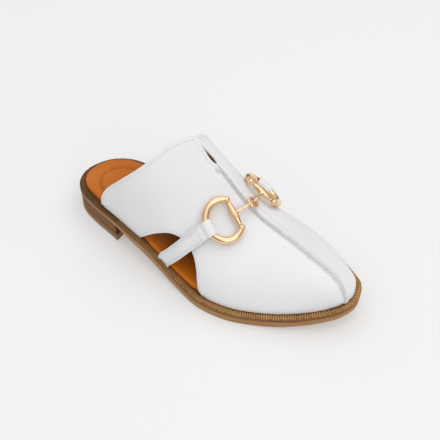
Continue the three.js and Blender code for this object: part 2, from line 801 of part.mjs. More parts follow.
// One eye lies on the seam; the other stands in it, its wire through the first one's centre.
const toMedialBar = new THREE.Vector3(...bitTable[1].bar).sub(bitPeak).normalize();
const lyingNormal = new THREE.Vector3(0.49, 0, 0.87);
lyingNormal.addScaledVector(toMedialBar, -lyingNormal.dot(toMedialBar)).normalize();
const standingNormal = new THREE.Vector3().crossVectors(toMedialBar, lyingNormal);
const standingCentre = bitPeak.clone().addScaledVector(toMedialBar, eyeRadius);
const links = [
  makeLink(bitTable[0], bitPeak, lyingNormal),
  makeLink(bitTable[1], standingCentre, standingNormal),
];
bitTable.forEach((row, k) => {
  const ringMatrix = ringFrame(row);
  const ring = makePiece(`bit_ring_${row.side}`, makeRing(row), colours.gold);
  ring.applyMatrix4(ringMatrix);
  const link = makePiece(`bit_link_${row.side}`, links[k], colours.gold);
  const strap = makePiece(`strap_${row.side}`, makeStrap(strapTable[k], ringMatrix), colours.leather);
  shoe.add(ring, link, strap);
});

// The origin is on the floor, under the middle of the shoe's length and width.
const box = new THREE.Box3().setFromObject(shoe, true);
shoe.position.set(-(box.min.x + box.max.x) / 2, -(box.min.y + box.max.y) / 2, 0);

export default shoe;
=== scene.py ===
import math

import bpy
import numpy as np
from mathutils import Matrix, Vector
from mathutils.geometry import delaunay_2d_cdt


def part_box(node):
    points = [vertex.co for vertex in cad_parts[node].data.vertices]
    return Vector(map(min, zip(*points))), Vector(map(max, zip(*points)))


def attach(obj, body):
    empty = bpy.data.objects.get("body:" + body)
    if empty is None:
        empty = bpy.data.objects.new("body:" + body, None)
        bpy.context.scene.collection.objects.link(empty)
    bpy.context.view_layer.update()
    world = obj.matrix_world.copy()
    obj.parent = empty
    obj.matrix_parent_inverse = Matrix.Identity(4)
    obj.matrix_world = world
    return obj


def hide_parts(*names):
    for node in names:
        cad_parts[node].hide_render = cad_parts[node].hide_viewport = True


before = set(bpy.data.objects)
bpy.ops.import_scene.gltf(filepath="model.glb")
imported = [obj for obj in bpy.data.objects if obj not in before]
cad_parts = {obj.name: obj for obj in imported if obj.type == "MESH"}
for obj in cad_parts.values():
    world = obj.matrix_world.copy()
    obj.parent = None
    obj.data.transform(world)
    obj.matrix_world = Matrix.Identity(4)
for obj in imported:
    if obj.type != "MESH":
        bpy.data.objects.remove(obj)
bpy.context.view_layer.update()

# Lengths are in millimetres from the back of the heel (x), the heel line (y) and the floor (z).
# place() turns them into the frame's metres.

MM = 0.001

SHOE_LENGTH = 252.7
HEEL_HEIGHT = 18.1
TOE_SPRING = 12.9
HEEL_BREAST = 57.4
FLAT_START = 151.2
FLAT_END = 176.8
OUTSOLE_HEEL = 2.6
OUTSOLE_BALL = 6.9
WELT = 3.4
INSOLE = 3.6
TOP_LIFT = 5.6
HEEL_LAYERS = 4
WALL = 2.0
GAP = 0.3
UPPER_BACK = 33.0
TOE_FAN = 195.0
THROAT_X = 104.0
SLIT_END = 127.0

# Half widths of the outsole: x, medial, lateral.
SOLE = [
    (5, 18.5, 13.8), (14, 28.8, 21.2), (28, 35.2, 26.3), (50, 35.2, 31.6), (75, 29.6, 38),
    (102, 25.9, 42.8), (128, 28.8, 48.7), (152, 37, 53.5), (174, 44.6, 51.8), (195, 48, 44.6),
    (213, 45.6, 36.2), (228, 36.5, 27), (240, 27.8, 17.8), (248, 19.8, 9.3),
]
HEEL_TIP_Y = 1.0
TOE_TIP_Y = 4.0

# The seam over the instep: x, y, z.
SEAM = [
    (33, 15, 120), (60, 14, 118), (85, 12.6, 111), (104, 11, 100.8), (118, 9.5, 91.6),
    (131, 8.2, 83), (143, 6.9, 74.2), (155, 5.7, 65.6), (166, 4.5, 60), (180, 3, 56.5),
    (195, 1.5, 53.5), (212, -0.4, 49.2), (226, -1.8, 45.7), (236, -2.9, 41.6),
    (242.2, -3.5, 36), (245.8, -3.8, 29), (247, -4, 21.6),
]

# Cross sections: x, then lean, rise, slope in degrees and reach for each side.
SECTION_X = [33, 70, 104, 131, 155, 180, 212, 236, 247]
SECTIONS = {
    "lateral": [
        (0, 0.4, 50, 0.3), (0.03, 0.4, 42, 0.3), (0.06, 0.36, 34, 0.3), (0.06, 0.36, 30, 0.3),
        (0.06, 0.38, 26, 0.32), (0.06, 0.4, 20, 0.36), (0.05, 0.42, 16, 0.4),
        (0.03, 0.5, 12, 0.42), (0, 0.5, 5, 0.45),
    ],
    "medial": [
        (0, 0.4, 50, 0.3), (0.08, 0.4, 35, 0.3), (0.17, 0.41, 6, 0.33), (0.17, 0.41, -5, 0.34),
        (0.15, 0.46, -2, 0.4), (0.08, 0.45, 8, 0.42), (0, 0.36, 22, 0.35),
        (0, 0.39, 20, 0.39), (0, 0.5, 5, 0.45),
    ],
}

# Rear edges and the side opening in side view: x, z.
TOPLINES = {
    "lateral": [
        (104, 100.9), (100, 100.1), (92.5, 96.2), (85.6, 89.3), (77.5, 80.3), (66, 68.6),
        (58.4, 60.5), (50.7, 52.2), (43.8, 43.4), (39.6, 35.6), (38, 29.5), (37.9, 26.5),
    ],
    "medial": [
        (104.6, 100.7), (104.4, 97), (103, 92), (100, 87.2), (95.2, 83), (89.3, 79.2),
        (82.8, 74.4), (77, 69), (67.6, 60), (59, 50), (50.4, 39.5), (44, 30), (42.4, 26.5),
    ],
}
ARCH = [
    (84, 22), (92, 30.6), (99.6, 37.9), (107, 43), (114, 46.2), (121, 47), (128.5, 45.6),
    (135, 42.4), (140, 38), (144.3, 31.6), (147, 23.5), (149.8, 13.5), (154.5, 8.5),
]

# The bit: bar middle, way to the toe, and where the strap crosses the ring.
BIT = {
    "lateral": ((153, -9.4, 64.9), (18, -6.9, -12.5), (142.1, -27.4, 59.9)),
    "medial": ((158.9, 20.4, 66.6), (21, 2.9, -14.1), (151.2, 39.6, 53.2)),
}
BIT_PEAK = np.array((160.2, 5, 68.7))
BALL_SPACING = 23.5
BALL_RADIUS = 2.6
WIRE = 2.1
RING_HALF_WIDTH = 15.2
RING_DEPTH = 22.0
HOOP_SHIFT = 1.2
STRAP_WIDTH = 12.0
STRAP_THICKNESS = 2.4
STRAPS = {
    "lateral": (
        (-0.12, -0.97, 0.2), (0.12, -0.76, 0.64),
        [
            (111.9, -42.1, 17.2), (113.6, -43, 21.8), (119.8, -43.4, 30), (127.6, -42.8, 41),
            (134, -38.8, 49.3),
        ],
    ),
    "medial": (
        (0.05, 0.99, -0.1), (0.04, 0.86, 0.5),
        [(121, 25.4, 15), (122.8, 27.6, 20), (127, 31.6, 26), (134.5, 36.8, 33.5), (142.5, 40, 41.7)],
    ),
}
SIDES = {"lateral": -1.0, "medial": 1.0}
UP = np.array((0.0, 0.0, 1.0))

OUTSOLE_CORNER = np.array((0.15, -53.637, 0.0))  # the outsole's low corner in the shoe's millimetres
SHIFT = np.array(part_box("outsole")[0]) / MM - OUTSOLE_CORNER


# ---------- curves and small maths ----------

def place(points):
    return (np.asarray(points, float) + SHIFT) * MM


def ease(x, start, end):
    part = np.clip((np.asarray(x, float) - start) / (end - start), 0, 1)
    return part * part * (3 - 2 * part)


def unit(vectors):
    vectors = np.asarray(vectors, float)
    return vectors / np.maximum(np.linalg.norm(vectors, axis=-1, keepdims=True), 1e-9)


def smooth_line(points, per_span, closed=False):
    """A centripetal curve through the points."""
    points = np.asarray(points, float)
    count = len(points)
    out = []
    for i in range(count if closed else count - 1):
        if closed:
            p0, p1, p2, p3 = (points[(i + k) % count] for k in (-1, 0, 1, 2))
        else:
            p1, p2 = points[i], points[i + 1]
            p0 = points[i - 1] if i else 2 * p1 - p2
            p3 = points[i + 2] if i + 2 < count else 2 * p2 - p1
        d0, d1, d2 = (math.sqrt(np.linalg.norm(b - a)) for a, b in ((p0, p1), (p1, p2), (p2, p3)))
        t1 = ((p1 - p0) / d0 - (p2 - p0) / (d0 + d1) + (p2 - p1) / d1) * d1
        t2 = ((p2 - p1) / d1 - (p3 - p1) / (d1 + d2) + (p3 - p2) / d2) * d1
        u = np.linspace(0, 1, per_span, endpoint=False)[:, None]
        out.append(p1 + t1 * u + (3 * (p2 - p1) - 2 * t1 - t2) * u**2 + (2 * (p1 - p2) + t1 + t2) * u**3)
    if not closed:
        out.append(points[-1:])
    return np.vstack(out)


def even_line(points, pitch):
    """The same line with its points a steady distance apart."""
    points = np.asarray(points, float)
    run = np.concatenate([[0], np.cumsum(np.linalg.norm(np.diff(points, axis=0), axis=1))])
    count = max(int(round(run[-1] / pitch)), 1)
    goals = np.linspace(0, run[-1], count + 1)
    return np.stack([np.interp(goals, run, points[:, k]) for k in range(points.shape[1])], 1)


def column(rows, index, x):
    """Reads one column of the section table smoothly between its stations."""
    xs = np.asarray(SECTION_X, float)
    ys = np.array([row[index] for row in rows], float)
    slopes = np.empty(len(xs))
    slopes[1:-1] = (ys[2:] - ys[:-2]) / (xs[2:] - xs[:-2])
    slopes[0] = (ys[1] - ys[0]) / (xs[1] - xs[0])
    slopes[-1] = (ys[-1] - ys[-2]) / (xs[-1] - xs[-2])
    k = np.clip(np.searchsorted(xs, x) - 1, 0, len(xs) - 2)
    span = xs[k + 1] - xs[k]
    u = np.clip((x - xs[k]) / span, 0, 1)
    rise = (2 * u**3 - 3 * u**2 + 1) * ys[k] + (3 * u**2 - 2 * u**3) * ys[k + 1]
    return rise + (u**3 - 2 * u**2 + u) * span * slopes[k] + (u**3 - u**2) * span * slopes[k + 1]


# ---------- sole levels and outline ----------

def outsole_bottom(x):
    spring = np.clip((np.asarray(x, float) - FLAT_END) / (SHOE_LENGTH + 0.9 - FLAT_END), 0, 1)
    return HEEL_HEIGHT * (1 - ease(x, HEEL_BREAST, FLAT_START)) + TOE_SPRING * spring**2


def outsole_top(x):
    return outsole_bottom(x) + OUTSOLE_HEEL + (OUTSOLE_BALL - OUTSOLE_HEEL) * ease(x, 48, 108)


def welt_top(x):
    return outsole_top(x) + WELT


OUTLINE = smooth_line(
    [(0, HEEL_TIP_Y)]
    + [(x, m) for x, m, _ in SOLE]
    + [(SHOE_LENGTH, TOE_TIP_Y)]
    + [(x, -l) for x, _, l in SOLE[::-1]],
    30, closed=True,
)


def inset_outline(inset):
    """The outline moved inwards; inset may be a number or a function of x."""
    along = unit(np.roll(OUTLINE, -1, 0) - np.roll(OUTLINE, 1, 0))
    distance = inset(OUTLINE[:, 0]) if callable(inset) else np.full(len(OUTLINE), float(inset))
    return OUTLINE + np.stack([along[:, 1], -along[:, 0]], 1) * distance[:, None]


def inside(points, loop):
    """Even and odd rule for each point against a closed loop."""
    found = np.zeros(len(points), bool)
    following = np.roll(loop, -1, 0)
    for (x0, y0), (x1, y1) in zip(loop, following):
        crosses = (y0 > points[:, 1]) != (y1 > points[:, 1])
        with np.errstate(divide="ignore", invalid="ignore"):
            at = (x1 - x0) * (points[:, 1] - y0) / (y1 - y0) + x0
        found ^= crosses & (points[:, 0] < at)
    return found


def split_outline(closed, toe):
    heel = int(closed[:, 0].argmin())
    turned = np.roll(closed, -heel, 0)
    toe = (toe - heel) % len(closed)
    return {
        "medial": turned[: toe + 1],
        "lateral": np.vstack([turned[toe:], turned[:1]])[::-1],
    }


# ---------- meshes and pieces ----------

def make_mesh(name, points, faces, materials, face_materials=None, sharp=40):
    mesh = bpy.data.meshes.new(name)
    mesh.from_pydata(place(points).tolist(), [], [list(map(int, f)) for f in faces])
    for material in materials:
        mesh.materials.append(material)
    if face_materials is not None:
        mesh.polygons.foreach_set("material_index", np.asarray(face_materials, dtype=np.int32))
    mesh.validate()
    mesh.shade_smooth()
    mesh.set_sharp_from_angle(angle=math.radians(sharp))
    mesh.update()
    piece = bpy.data.objects.new(name, mesh)
    bpy.context.scene.collection.objects.link(piece)
    return piece


def settle(piece, slot, *nodes):
    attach(piece, "root")
    if nodes:
        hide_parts(*nodes)
    return piece


def volume_of(points, faces):
    """Signed volume of a closed body, in cubic millimetres."""
    centre = points.mean(0)
    corners = [(f[0], f[i], f[i + 1]) for f in faces for i in range(1, len(f) - 1)]
    a, b, c = (points[list(k)] - centre for k in zip(*corners))
    return np.einsum("ij,ij->i", a, np.cross(b, c)).sum() / 6


def loft(rings, paired=False):
    """A closed body through rings of points, ended by fans, or by strips across each end ring."""
    rings = np.asarray(rings, float)
    rows, count, _ = rings.shape
    points = rings.reshape(-1, 3)
    faces = []
    for i in range(rows - 1):
        for j in range(count):
            a, b = i * count + j, i * count + (j + 1) % count
            faces.append((a, b, b + count, a + count))
    final = (rows - 1) * count
    if paired:
        for j in range(count // 2 - 1):
            strip = (j, count - 1 - j, count - 2 - j, j + 1)
            faces.append(strip)
            faces.append(tuple(final + k for k in strip[::-1]))
    else:
        points = np.vstack([points, rings[0].mean(0), rings[-1].mean(0)])
        for j in range(count):
            k = (j + 1) % count
            faces.append((rows * count, k, j))
            faces.append((rows * count + 1, final + j, final + k))
    if volume_of(points, faces) < 0:
        faces = [f[::-1] for f in faces]
    return points, faces


def joined(parts):
    """Several point and face lists as one."""
    points, faces, start = [], [], 0
    for some_points, some_faces in parts:
        points.append(some_points)
        faces += [tuple(i + start for i in f) for f in some_faces]
        start += len(some_points)
    return np.vstack(points), faces


# ---------- materials ----------

def paint(name, roughness, specular=0.5):
    """A new material with its nodes, links and shader."""
    material = bpy.data.materials.new(name)
    material.use_nodes = True
    tree = material.node_tree
    shader = tree.nodes["Principled BSDF"]
    shader.inputs["Roughness"].default_value = roughness
    shader.inputs["Specular IOR Level"].default_value = specular
    return material, tree.nodes, tree.links, shader


def colour_ramp(nodes, links, source, stops):
    """A colour that follows the source through the stops."""
    ramp = nodes.new("ShaderNodeValToRGB")
    while len(ramp.color_ramp.elements) < len(stops):
        ramp.color_ramp.elements.new(0.5)
    for element, (position, colour) in zip(ramp.color_ramp.elements, stops):
        element.position = position
        element.color = (*colour, 1)
    links.new(source, ramp.inputs["Fac"])
    return ramp.outputs["Color"]


def noise(nodes, links, scale, detail=4, stretch=None):
    space = nodes.new("ShaderNodeTexCoord").outputs["Object"]
    texture = nodes.new("ShaderNodeTexNoise")
    texture.inputs["Scale"].default_value = scale
    texture.inputs["Detail"].default_value = detail
    texture.inputs["Roughness"].default_value = 0.55
    if stretch:
        mapping = nodes.new("ShaderNodeMapping")
        mapping.inputs["Scale"].default_value = stretch
        links.new(space, mapping.inputs["Vector"])
        space = mapping.outputs["Vector"]
    links.new(space, texture.inputs["Vector"])
    return texture.outputs["Fac"]


def pebbles(nodes, links, scale):
    texture = nodes.new("ShaderNodeTexVoronoi")
    texture.inputs["Scale"].default_value = scale
    links.new(nodes.new("ShaderNodeTexCoord").outputs["Object"], texture.inputs["Vector"])
    return texture.outputs["Distance"]


def axis_value(nodes, links, axis):
    """How far a point of the piece lies along one axis, in metres."""
    split = nodes.new("ShaderNodeSeparateXYZ")
    links.new(nodes.new("ShaderNodeTexCoord").outputs["Object"], split.inputs["Vector"])
    return split.outputs[axis]


def blend(nodes, links, value, start, end, first, second):
    """A colour that passes from first to second while the value goes from start to end."""
    part = nodes.new("ShaderNodeMapRange")
    part.inputs["From Min"].default_value = start
    part.inputs["From Max"].default_value = end
    mix = nodes.new("ShaderNodeMix")
    mix.data_type = "RGBA"
    links.new(value, part.inputs["Value"])
    links.new(part.outputs["Result"], mix.inputs["Factor"])
    links.new(first, mix.inputs["A"])
    links.new(second, mix.inputs["B"])
    return mix.outputs["Result"]


def blend_along(nodes, links, back, front, start, end):
    """A colour that passes from back to front between two stations along the shoe."""
    low, high = place([(start, 0, 0), (end, 0, 0)])[:, 0]
    return blend(nodes, links, axis_value(nodes, links, "X"), low, high, back, front)


def bump(nodes, links, shader, heights, strength, distance):
    """Lays one bump over another for each (height, amount)."""
    before = None
    for height, amount in heights:
        node = nodes.new("ShaderNodeBump")
        node.inputs["Strength"].default_value = strength * amount
        node.inputs["Distance"].default_value = distance
        links.new(height, node.inputs["Height"])
        if before is not None:
            links.new(before, node.inputs["Normal"])
        before = node.outputs["Normal"]
    links.new(before, shader.inputs["Normal"])


def white_leather():
    material, nodes, links, shader = paint("white_leather", 0.42, 0.35)
    stops = [(0.3, (0.845, 0.847, 0.86)), (0.7, (0.88, 0.882, 0.894))]
    links.new(colour_ramp(nodes, links, noise(nodes, links, 18, 3), stops), shader.inputs["Base Color"])
    grain = pebbles(nodes, links, 1500)
    pores = noise(nodes, links, 2400, 2)
    waves = noise(nodes, links, 70, 2)
    bump(nodes, links, shader, [(waves, 1.0), (grain, 0.35), (pores, 0.3)], 0.25, 0.0006)
    return material


def fibrous(name, scale, detail, dark, light, roughness, strength, distance):
    """An edge or a thread, coloured and roughened by one fine noise."""
    material, nodes, links, shader = paint(name, roughness)
    fibres = noise(nodes, links, scale, detail)
    links.new(colour_ramp(nodes, links, fibres, [(0.3, dark), (0.7, light)]), shader.inputs["Base Color"])
    bump(nodes, links, shader, [(fibres, 1.0)], strength, distance)
    return material


def lining_leather():
    material, nodes, links, shader = paint("lining_leather", 0.7)
    stops = [(0.3, (0.1, 0.018, 0.004)), (0.7, (0.17, 0.038, 0.009))]
    links.new(colour_ramp(nodes, links, noise(nodes, links, 30, 5), stops), shader.inputs["Base Color"])
    bump(nodes, links, shader, [(noise(nodes, links, 1800, 3), 1.0)], 0.25, 0.0005)
    return material


def insole_leather():
    """Tan leather, deeper in colour under the upper, with painted shade darkening its middle there."""
    material, nodes, links, shader = paint("insole_leather", 0.45, 0.2)
    clouds = noise(nodes, links, 24, 5)
    heel, deep, painted_middle_shade = (
        colour_ramp(nodes, links, clouds, [(0.28, dark), (0.72, light)])
        for dark, light in (
            ((0.48, 0.11, 0.008), (0.62, 0.18, 0.02)),
            ((0.58, 0.14, 0.003), (0.76, 0.21, 0.006)),
            ((0.2, 0.04, 0.003), (0.3, 0.07, 0.006)),
        )
    )
    from_middle = nodes.new("ShaderNodeMath")
    from_middle.operation = "ABSOLUTE"
    links.new(axis_value(nodes, links, "Y"), from_middle.inputs[0])
    # Painted shade: the insole turns dark towards its middle under the upper, where the shoe shades it.
    front = blend(nodes, links, from_middle.outputs["Value"], 14 * MM, 38 * MM, painted_middle_shade, deep)
    links.new(blend_along(nodes, links, heel, front, 62, 95), shader.inputs["Base Color"])
    grain = pebbles(nodes, links, 1100)
    pores = noise(nodes, links, 1900, 3)
    bump(nodes, links, shader, [(grain, 0.5), (pores, 0.6)], 0.3, 0.0005)
    return material


def burnished(name, dark, light, roughness, heel_shade=1.0):
    """Sole leather with fine streaks that run along the shoe, darker behind the waist."""
    material, nodes, links, shader = paint(name, roughness, 0.16)
    streaks = noise(nodes, links, 60, 6, (0.35, 0.35, 14))
    front, heel = (
        colour_ramp(nodes, links, streaks, [
            (0.3, [part * shade for part in dark]), (0.72, [part * shade for part in light]),
        ])
        for shade in (1.0, heel_shade)
    )
    links.new(blend_along(nodes, links, heel, front, 60, 165), shader.inputs["Base Color"])
    bump(nodes, links, shader, [(streaks, 1.0), (noise(nodes, links, 1300, 3), 0.4)], 0.3, 0.0005)
    return material


def stacked_leather():
    """Thin layers of leather, one on another, with dark glue lines between them."""
    material, nodes, links, shader = paint("stacked_leather", 0.55, 0.18)
    layers = nodes.new("ShaderNodeTexWave")
    layers.bands_direction = "Z"
    for name, value in (("Scale", 150), ("Distortion", 0.6), ("Detail", 2), ("Detail Scale", 0.6)):
        layers.inputs[name].default_value = value
    links.new(nodes.new("ShaderNodeTexCoord").outputs["Object"], layers.inputs["Vector"])
    bands = colour_ramp(nodes, links, layers.outputs["Fac"], [
        (0.0, (0.09, 0.035, 0.012)), (0.25, (0.22, 0.092, 0.03)), (1.0, (0.34, 0.155, 0.055)),
    ])
    streaks = noise(nodes, links, 60, 6, (0.6, 0.6, 20))
    shade = colour_ramp(nodes, links, streaks, [(0.3, (0.62, 0.58, 0.55)), (0.7, (1.15, 1.12, 1.1))])
    mix = nodes.new("ShaderNodeMix")
    mix.data_type = "RGBA"
    mix.blend_type = "MULTIPLY"
    mix.inputs["Factor"].default_value = 0.55
    links.new(bands, mix.inputs["A"])
    links.new(shade, mix.inputs["B"])
    links.new(mix.outputs["Result"], shader.inputs["Base Color"])
    bump(nodes, links, shader, [(layers.outputs["Fac"], 1.0), (streaks, 0.5)], 0.35, 0.0004)
    return material


def pale_gold():
    """Polished metal whose roughness varies a little, as if it had been handled."""
    material, nodes, links, shader = paint("pale_gold", 0.5)
    clouds = noise(nodes, links, 220, 4)
    colour = colour_ramp(nodes, links, clouds, [(0.3, (0.86, 0.57, 0.33)), (0.7, (0.93, 0.66, 0.41))])
    smudge = colour_ramp(nodes, links, clouds, [(0.3, (0.05, 0.05, 0.05)), (0.75, (0.12, 0.12, 0.12))])
    links.new(colour, shader.inputs["Base Color"])
    links.new(smudge, shader.inputs["Roughness"])
    shader.inputs["Metallic"].default_value = 1.0
    return material


def thread(name, dark, light):
    return fibrous(name, 3000, 2, dark, light, 0.8, 0.4, 0.0002)


WHITE = white_leather()
EDGE = fibrous("cut_leather_edge", 900, 4, (0.62, 0.5, 0.42), (0.8, 0.7, 0.62), 0.75, 0.3, 0.0004)
# Painted shade: grey for the near flank of the folded seam, standing in for the shade that falls on it.
SEAM_FLANK_SHADE = fibrous(
    "seam_flank_painted_shade", 400, 4, (0.58, 0.575, 0.6), (0.76, 0.755, 0.775), 0.6, 0.35, 0.0006,
)
LINING = lining_leather()
TAN = insole_leather()
OUTSOLE_FINISH = burnished("burnished_outsole", (0.32, 0.165, 0.065), (0.5, 0.28, 0.125), 0.45)
WELT_FINISH = burnished("burnished_welt", (0.17, 0.07, 0.018), (0.3, 0.14, 0.045), 0.5, 0.56)
RIB_FINISH = burnished("knurled_welt", (0.4, 0.2, 0.07), (0.62, 0.35, 0.14), 0.5, 0.36)
LIFT_FINISH = burnished("top_lift_leather", (0.22, 0.11, 0.045), (0.36, 0.19, 0.085), 0.5)
HEEL_FINISH = stacked_leather()
# Painted shade: a near black sole finish for the shadow gap under the upper's edge and for the shaded heel
# breast.
SHADOW_PAINT = burnished("painted_shadow", (0.05, 0.022, 0.01), (0.09, 0.04, 0.018), 0.6)
GOLD = pale_gold()
WHITE_THREAD = thread("white_thread", (0.66, 0.66, 0.68), (0.86, 0.86, 0.88))
TAN_THREAD = thread("tan_thread", (0.3, 0.1, 0.03), (0.42, 0.15, 0.05))


# ---------- the sole: slabs that follow the outline ----------

def stations(start, end, pitch=1.6):
    body = np.linspace(14, SHOE_LENGTH - 14, int((SHOE_LENGTH - 28) / pitch))
    tip = 14 * (1 - np.cos(np.linspace(0, math.pi / 2, 16)))
    xs = np.concatenate([tip + 0.15, body, SHOE_LENGTH - 0.15 - tip, [start, end]])
    xs = np.unique(np.round(xs, 3))
    xs = xs[(xs >= start) & (xs <= end)]
    return xs[np.concatenate([[True], np.diff(xs) > 0.02])]


def slab(profile, start=0.15, end=SHOE_LENGTH - 0.15):
    """profile: corners from bottom to top, each (inset, level function, extra height)."""
    xs = stations(start, end)
    halves = {"medial": [], "lateral": []}
    for inset, level, extra in profile:
        closed = inset_outline(inset)
        sides = split_outline(closed, int(closed[:, 0].argmax()))
        distance = inset(xs) if callable(inset) else inset
        closing = np.clip(1 - xs / 14, 0, 1) - np.clip(1 - (SHOE_LENGTH - xs) / 14, 0, 1)
        x = xs + distance * closing
        for side, line in sides.items():
            y = np.interp(x, line[:, 0], line[:, 1])
            halves[side].append(np.stack([x, y, level(x) + extra], 1))
    rings = np.stack(halves["medial"] + halves["lateral"][::-1], 1)
    return loft(rings, paired=True)


def rounded(inset, level, radius, top, heel_radius=None):
    """Corner rows of a quarter circle, for the top or the bottom edge of a slab."""
    at_heel = radius if heel_radius is None else heel_radius
    rows = []
    for turn in np.linspace(0, math.pi / 2, 6):
        def depth(x, turn=turn):
            return inset + (at_heel + (radius - at_heel) * ease(x, 48, 108)) * (1 - math.cos(turn))

        def height(x, turn=turn):
            size = at_heel + (radius - at_heel) * ease(x, 48, 108)
            return level(x) + (-1 if top else 1) * size * (1 - math.sin(turn))
        rows.append((depth, height, 0.0))
    return rows if top else rows[::-1]


def flat_row(inset, level, extra=0.0):
    return (inset, level, extra)


def shadow_strip(body, inset):
    """1 for the faces of the welt's top beside the upper and inside the given inset, which take painted
    shadow from the upper's edge, else 0.
    """
    points, faces = body
    line = inset_outline(inset)
    middles = np.array([points[list(f)].mean(0) for f in faces])
    top = middles[:, 2] > welt_top(middles[:, 0]) - 0.6
    x = middles[:, 0]
    covered = (x > UPPER_BACK + 4) & ((x < ARCH[0][0]) | (x > ARCH[-1][0] - 6))
    return (inside(middles[:, :2], line) & top & covered).astype(int)


JOINT_DROP = 1.6  # how far the line between welt and outsole sinks towards the forefoot


def make_sole():
    def joint(x):
        return outsole_top(x) - JOINT_DROP * ease(x, 80, 140)

    outsole = slab(
        [flat_row(6, outsole_bottom)]
        + rounded(0.0, outsole_bottom, 0.9, False, 0.5)
        + rounded(0.0, joint, 0.9, True, 0.6)
        + [flat_row(3, joint)]
    )
    settle(make_mesh("outsole_leather", *outsole, [OUTSOLE_FINISH]), "sole", "outsole")

    def welt_bottom(x):
        return joint(x) + 0.15

    welt = slab(
        [flat_row(3, welt_bottom)]
        + rounded(0.25, welt_bottom, 0.6, False)
        + rounded(0.0, lambda x: welt_top(x) - 0.25, 0.9, True)
        + [flat_row(2.3, welt_top, -0.25), flat_row(2.5, welt_top, -0.25), flat_row(4.5, welt_top, -0.45)]
    )
    # Painted shadow: the welt's top next to the upper is coloured dark where the upper's edge shades it.
    strip = shadow_strip(welt, 2.45)
    settle(make_mesh("welt_leather", *welt, [WELT_FINISH, SHADOW_PAINT], strip), "welt", "welt")

    def lift_top(x):
        return np.full(np.shape(x), TOP_LIFT + 0.1)

    def floor_level(x):
        return np.zeros(np.shape(x))

    def heel_top(x):
        return np.full(np.shape(x), HEEL_HEIGHT - 0.1)

    grooves = []
    for k in range(1, HEEL_LAYERS):
        up = TOP_LIFT + 0.25 + (HEEL_HEIGHT - TOP_LIFT - 0.35) * k / HEEL_LAYERS
        inset = 0.95 - 0.6 * k / HEEL_LAYERS
        for rise, depth in ((-0.22, 0), (-0.06, 0.3), (0.06, 0.3), (0.22, 0)):
            grooves.append(flat_row(inset + depth, floor_level, up + rise))
    stack = slab(
        [flat_row(3, lift_top, 0.15)]
        + rounded(0.95, lambda x: lift_top(x) + 0.15, 0.4, False)
        + grooves
        + rounded(0.35, heel_top, 0.3, True)
        + [flat_row(3, heel_top)],
        end=HEEL_BREAST,
    )
    # Painted shade: the heel breast's forward faces take the dark shadow finish, standing in for the shade
    # under the arch.
    breast = [int(np.ptp(stack[0][list(f), 0]) < 0.01 and stack[0][f[0], 0] > 50) for f in stack[1]]
    settle(make_mesh("heel_block", *stack, [HEEL_FINISH, SHADOW_PAINT], breast), "heel", "heel_stack")
    lift = slab(
        [flat_row(4, floor_level)]
        + rounded(0.9, floor_level, 0.7, False)
        + rounded(0.7, lift_top, 0.35, True)
        + [flat_row(3, lift_top)],
        end=HEEL_BREAST,
    )
    settle(make_mesh("heel_top_lift", *lift, [LIFT_FINISH]), "top_lift", "top_lift")


def insole_inset(x):
    return 5.5 + 1.2 * ease(x, 110, 150) - 1.2 * ease(x, 88, 96) * (1 - ease(x, 138, 147))


PAD_CENTRE = (40.0, 3.5)
PAD_RADII = (22.0, 18.0)


def pad_height(x, y):
    """The heel cushion swells under the heel, with a pressed channel round it."""
    radius = np.hypot((x - PAD_CENTRE[0]) / PAD_RADII[0], (y - PAD_CENTRE[1]) / PAD_RADII[1])
    swell = 1.9 * np.sqrt(np.clip(1 - radius**2, 0, 1)) * (1 - 0.4 * ease(radius, 0.8, 1.0))
    channel = -1.1 * np.exp(-(((radius - 1) * PAD_RADII[1] / 1.2) ** 2)) * (1 - ease(x, 48, 58))
    shoulder = 0.7 * np.exp(-(((radius - 1.25) / 0.16) ** 2)) * (1 - ease(x, 40, 60))
    return swell + channel + shoulder


def make_insole():
    xs = stations(5.75, SHOE_LENGTH - 7.0, 1.3)
    closed = inset_outline(insole_inset)
    edge = split_outline(closed, int(closed[:, 0].argmax()))
    medial = np.interp(xs, edge["medial"][:, 0], edge["medial"][:, 1])
    lateral = np.interp(xs, edge["lateral"][:, 0], edge["lateral"][:, 1])
    rim = np.array([0.0, 0.004, 0.012, 0.024])
    across = np.concatenate([rim, np.linspace(0.04, 0.96, 60), 1 - rim[::-1]])
    y = lateral[:, None] + (medial - lateral)[:, None] * across[None, :]
    x = np.repeat(xs[:, None], len(across), 1)
    from_edge = np.minimum(y - lateral[:, None], medial[:, None] - y)
    ends = np.minimum(xs - xs[0], xs[-1] - xs)[:, None]
    near = np.clip(np.minimum(from_edge, ends) / 1.4, 0, 1)
    rounding = 1.4 * (1 - np.sqrt(1 - (1 - near) ** 2))
    top = welt_top(x) + INSOLE - rounding + pad_height(x, y) * ease(np.minimum(from_edge, ends), 0, 5)
    bottom = np.repeat((welt_top(xs) + 0.1)[:, None], len(across), 1)
    upper_rows = np.stack([x, y, top], 2)
    lower_rows = np.stack([x, y, bottom], 2)[:, ::-1]
    points, faces = loft(np.concatenate([upper_rows, lower_rows], 1), paired=True)
    settle(make_mesh("insole_cover", points, faces, [TAN], sharp=60), "insole", "insole")


make_sole()
make_insole()


# ---------- the upper ----------

STITCH_INSET = 2.2
RIM_PITCH = 1.25
PANEL_PITCH = 1.7
# How far the leather's rim swells out where it is cut, glued down, folded or lapped under the fold.
EDGE_BULGE, FOOT_BULGE, FOLD_BULGE, LAP_BULGE = 0.32, 0.15, 1.6, 0.05
# The rim's shape from the outer skin to the inner one: share of the swell, share of the thickness.
EDGE_PROFILE = np.array([(0.35, 0.1), (0.75, 0.28), (1.0, 0.52), (0.92, 0.78), (0.5, 0.95)])
FOLD_PROFILE = np.array([(0.22, 0.04), (0.5, 0.16), (0.8, 0.34), (1.0, 0.52), (0.8, 0.66)])
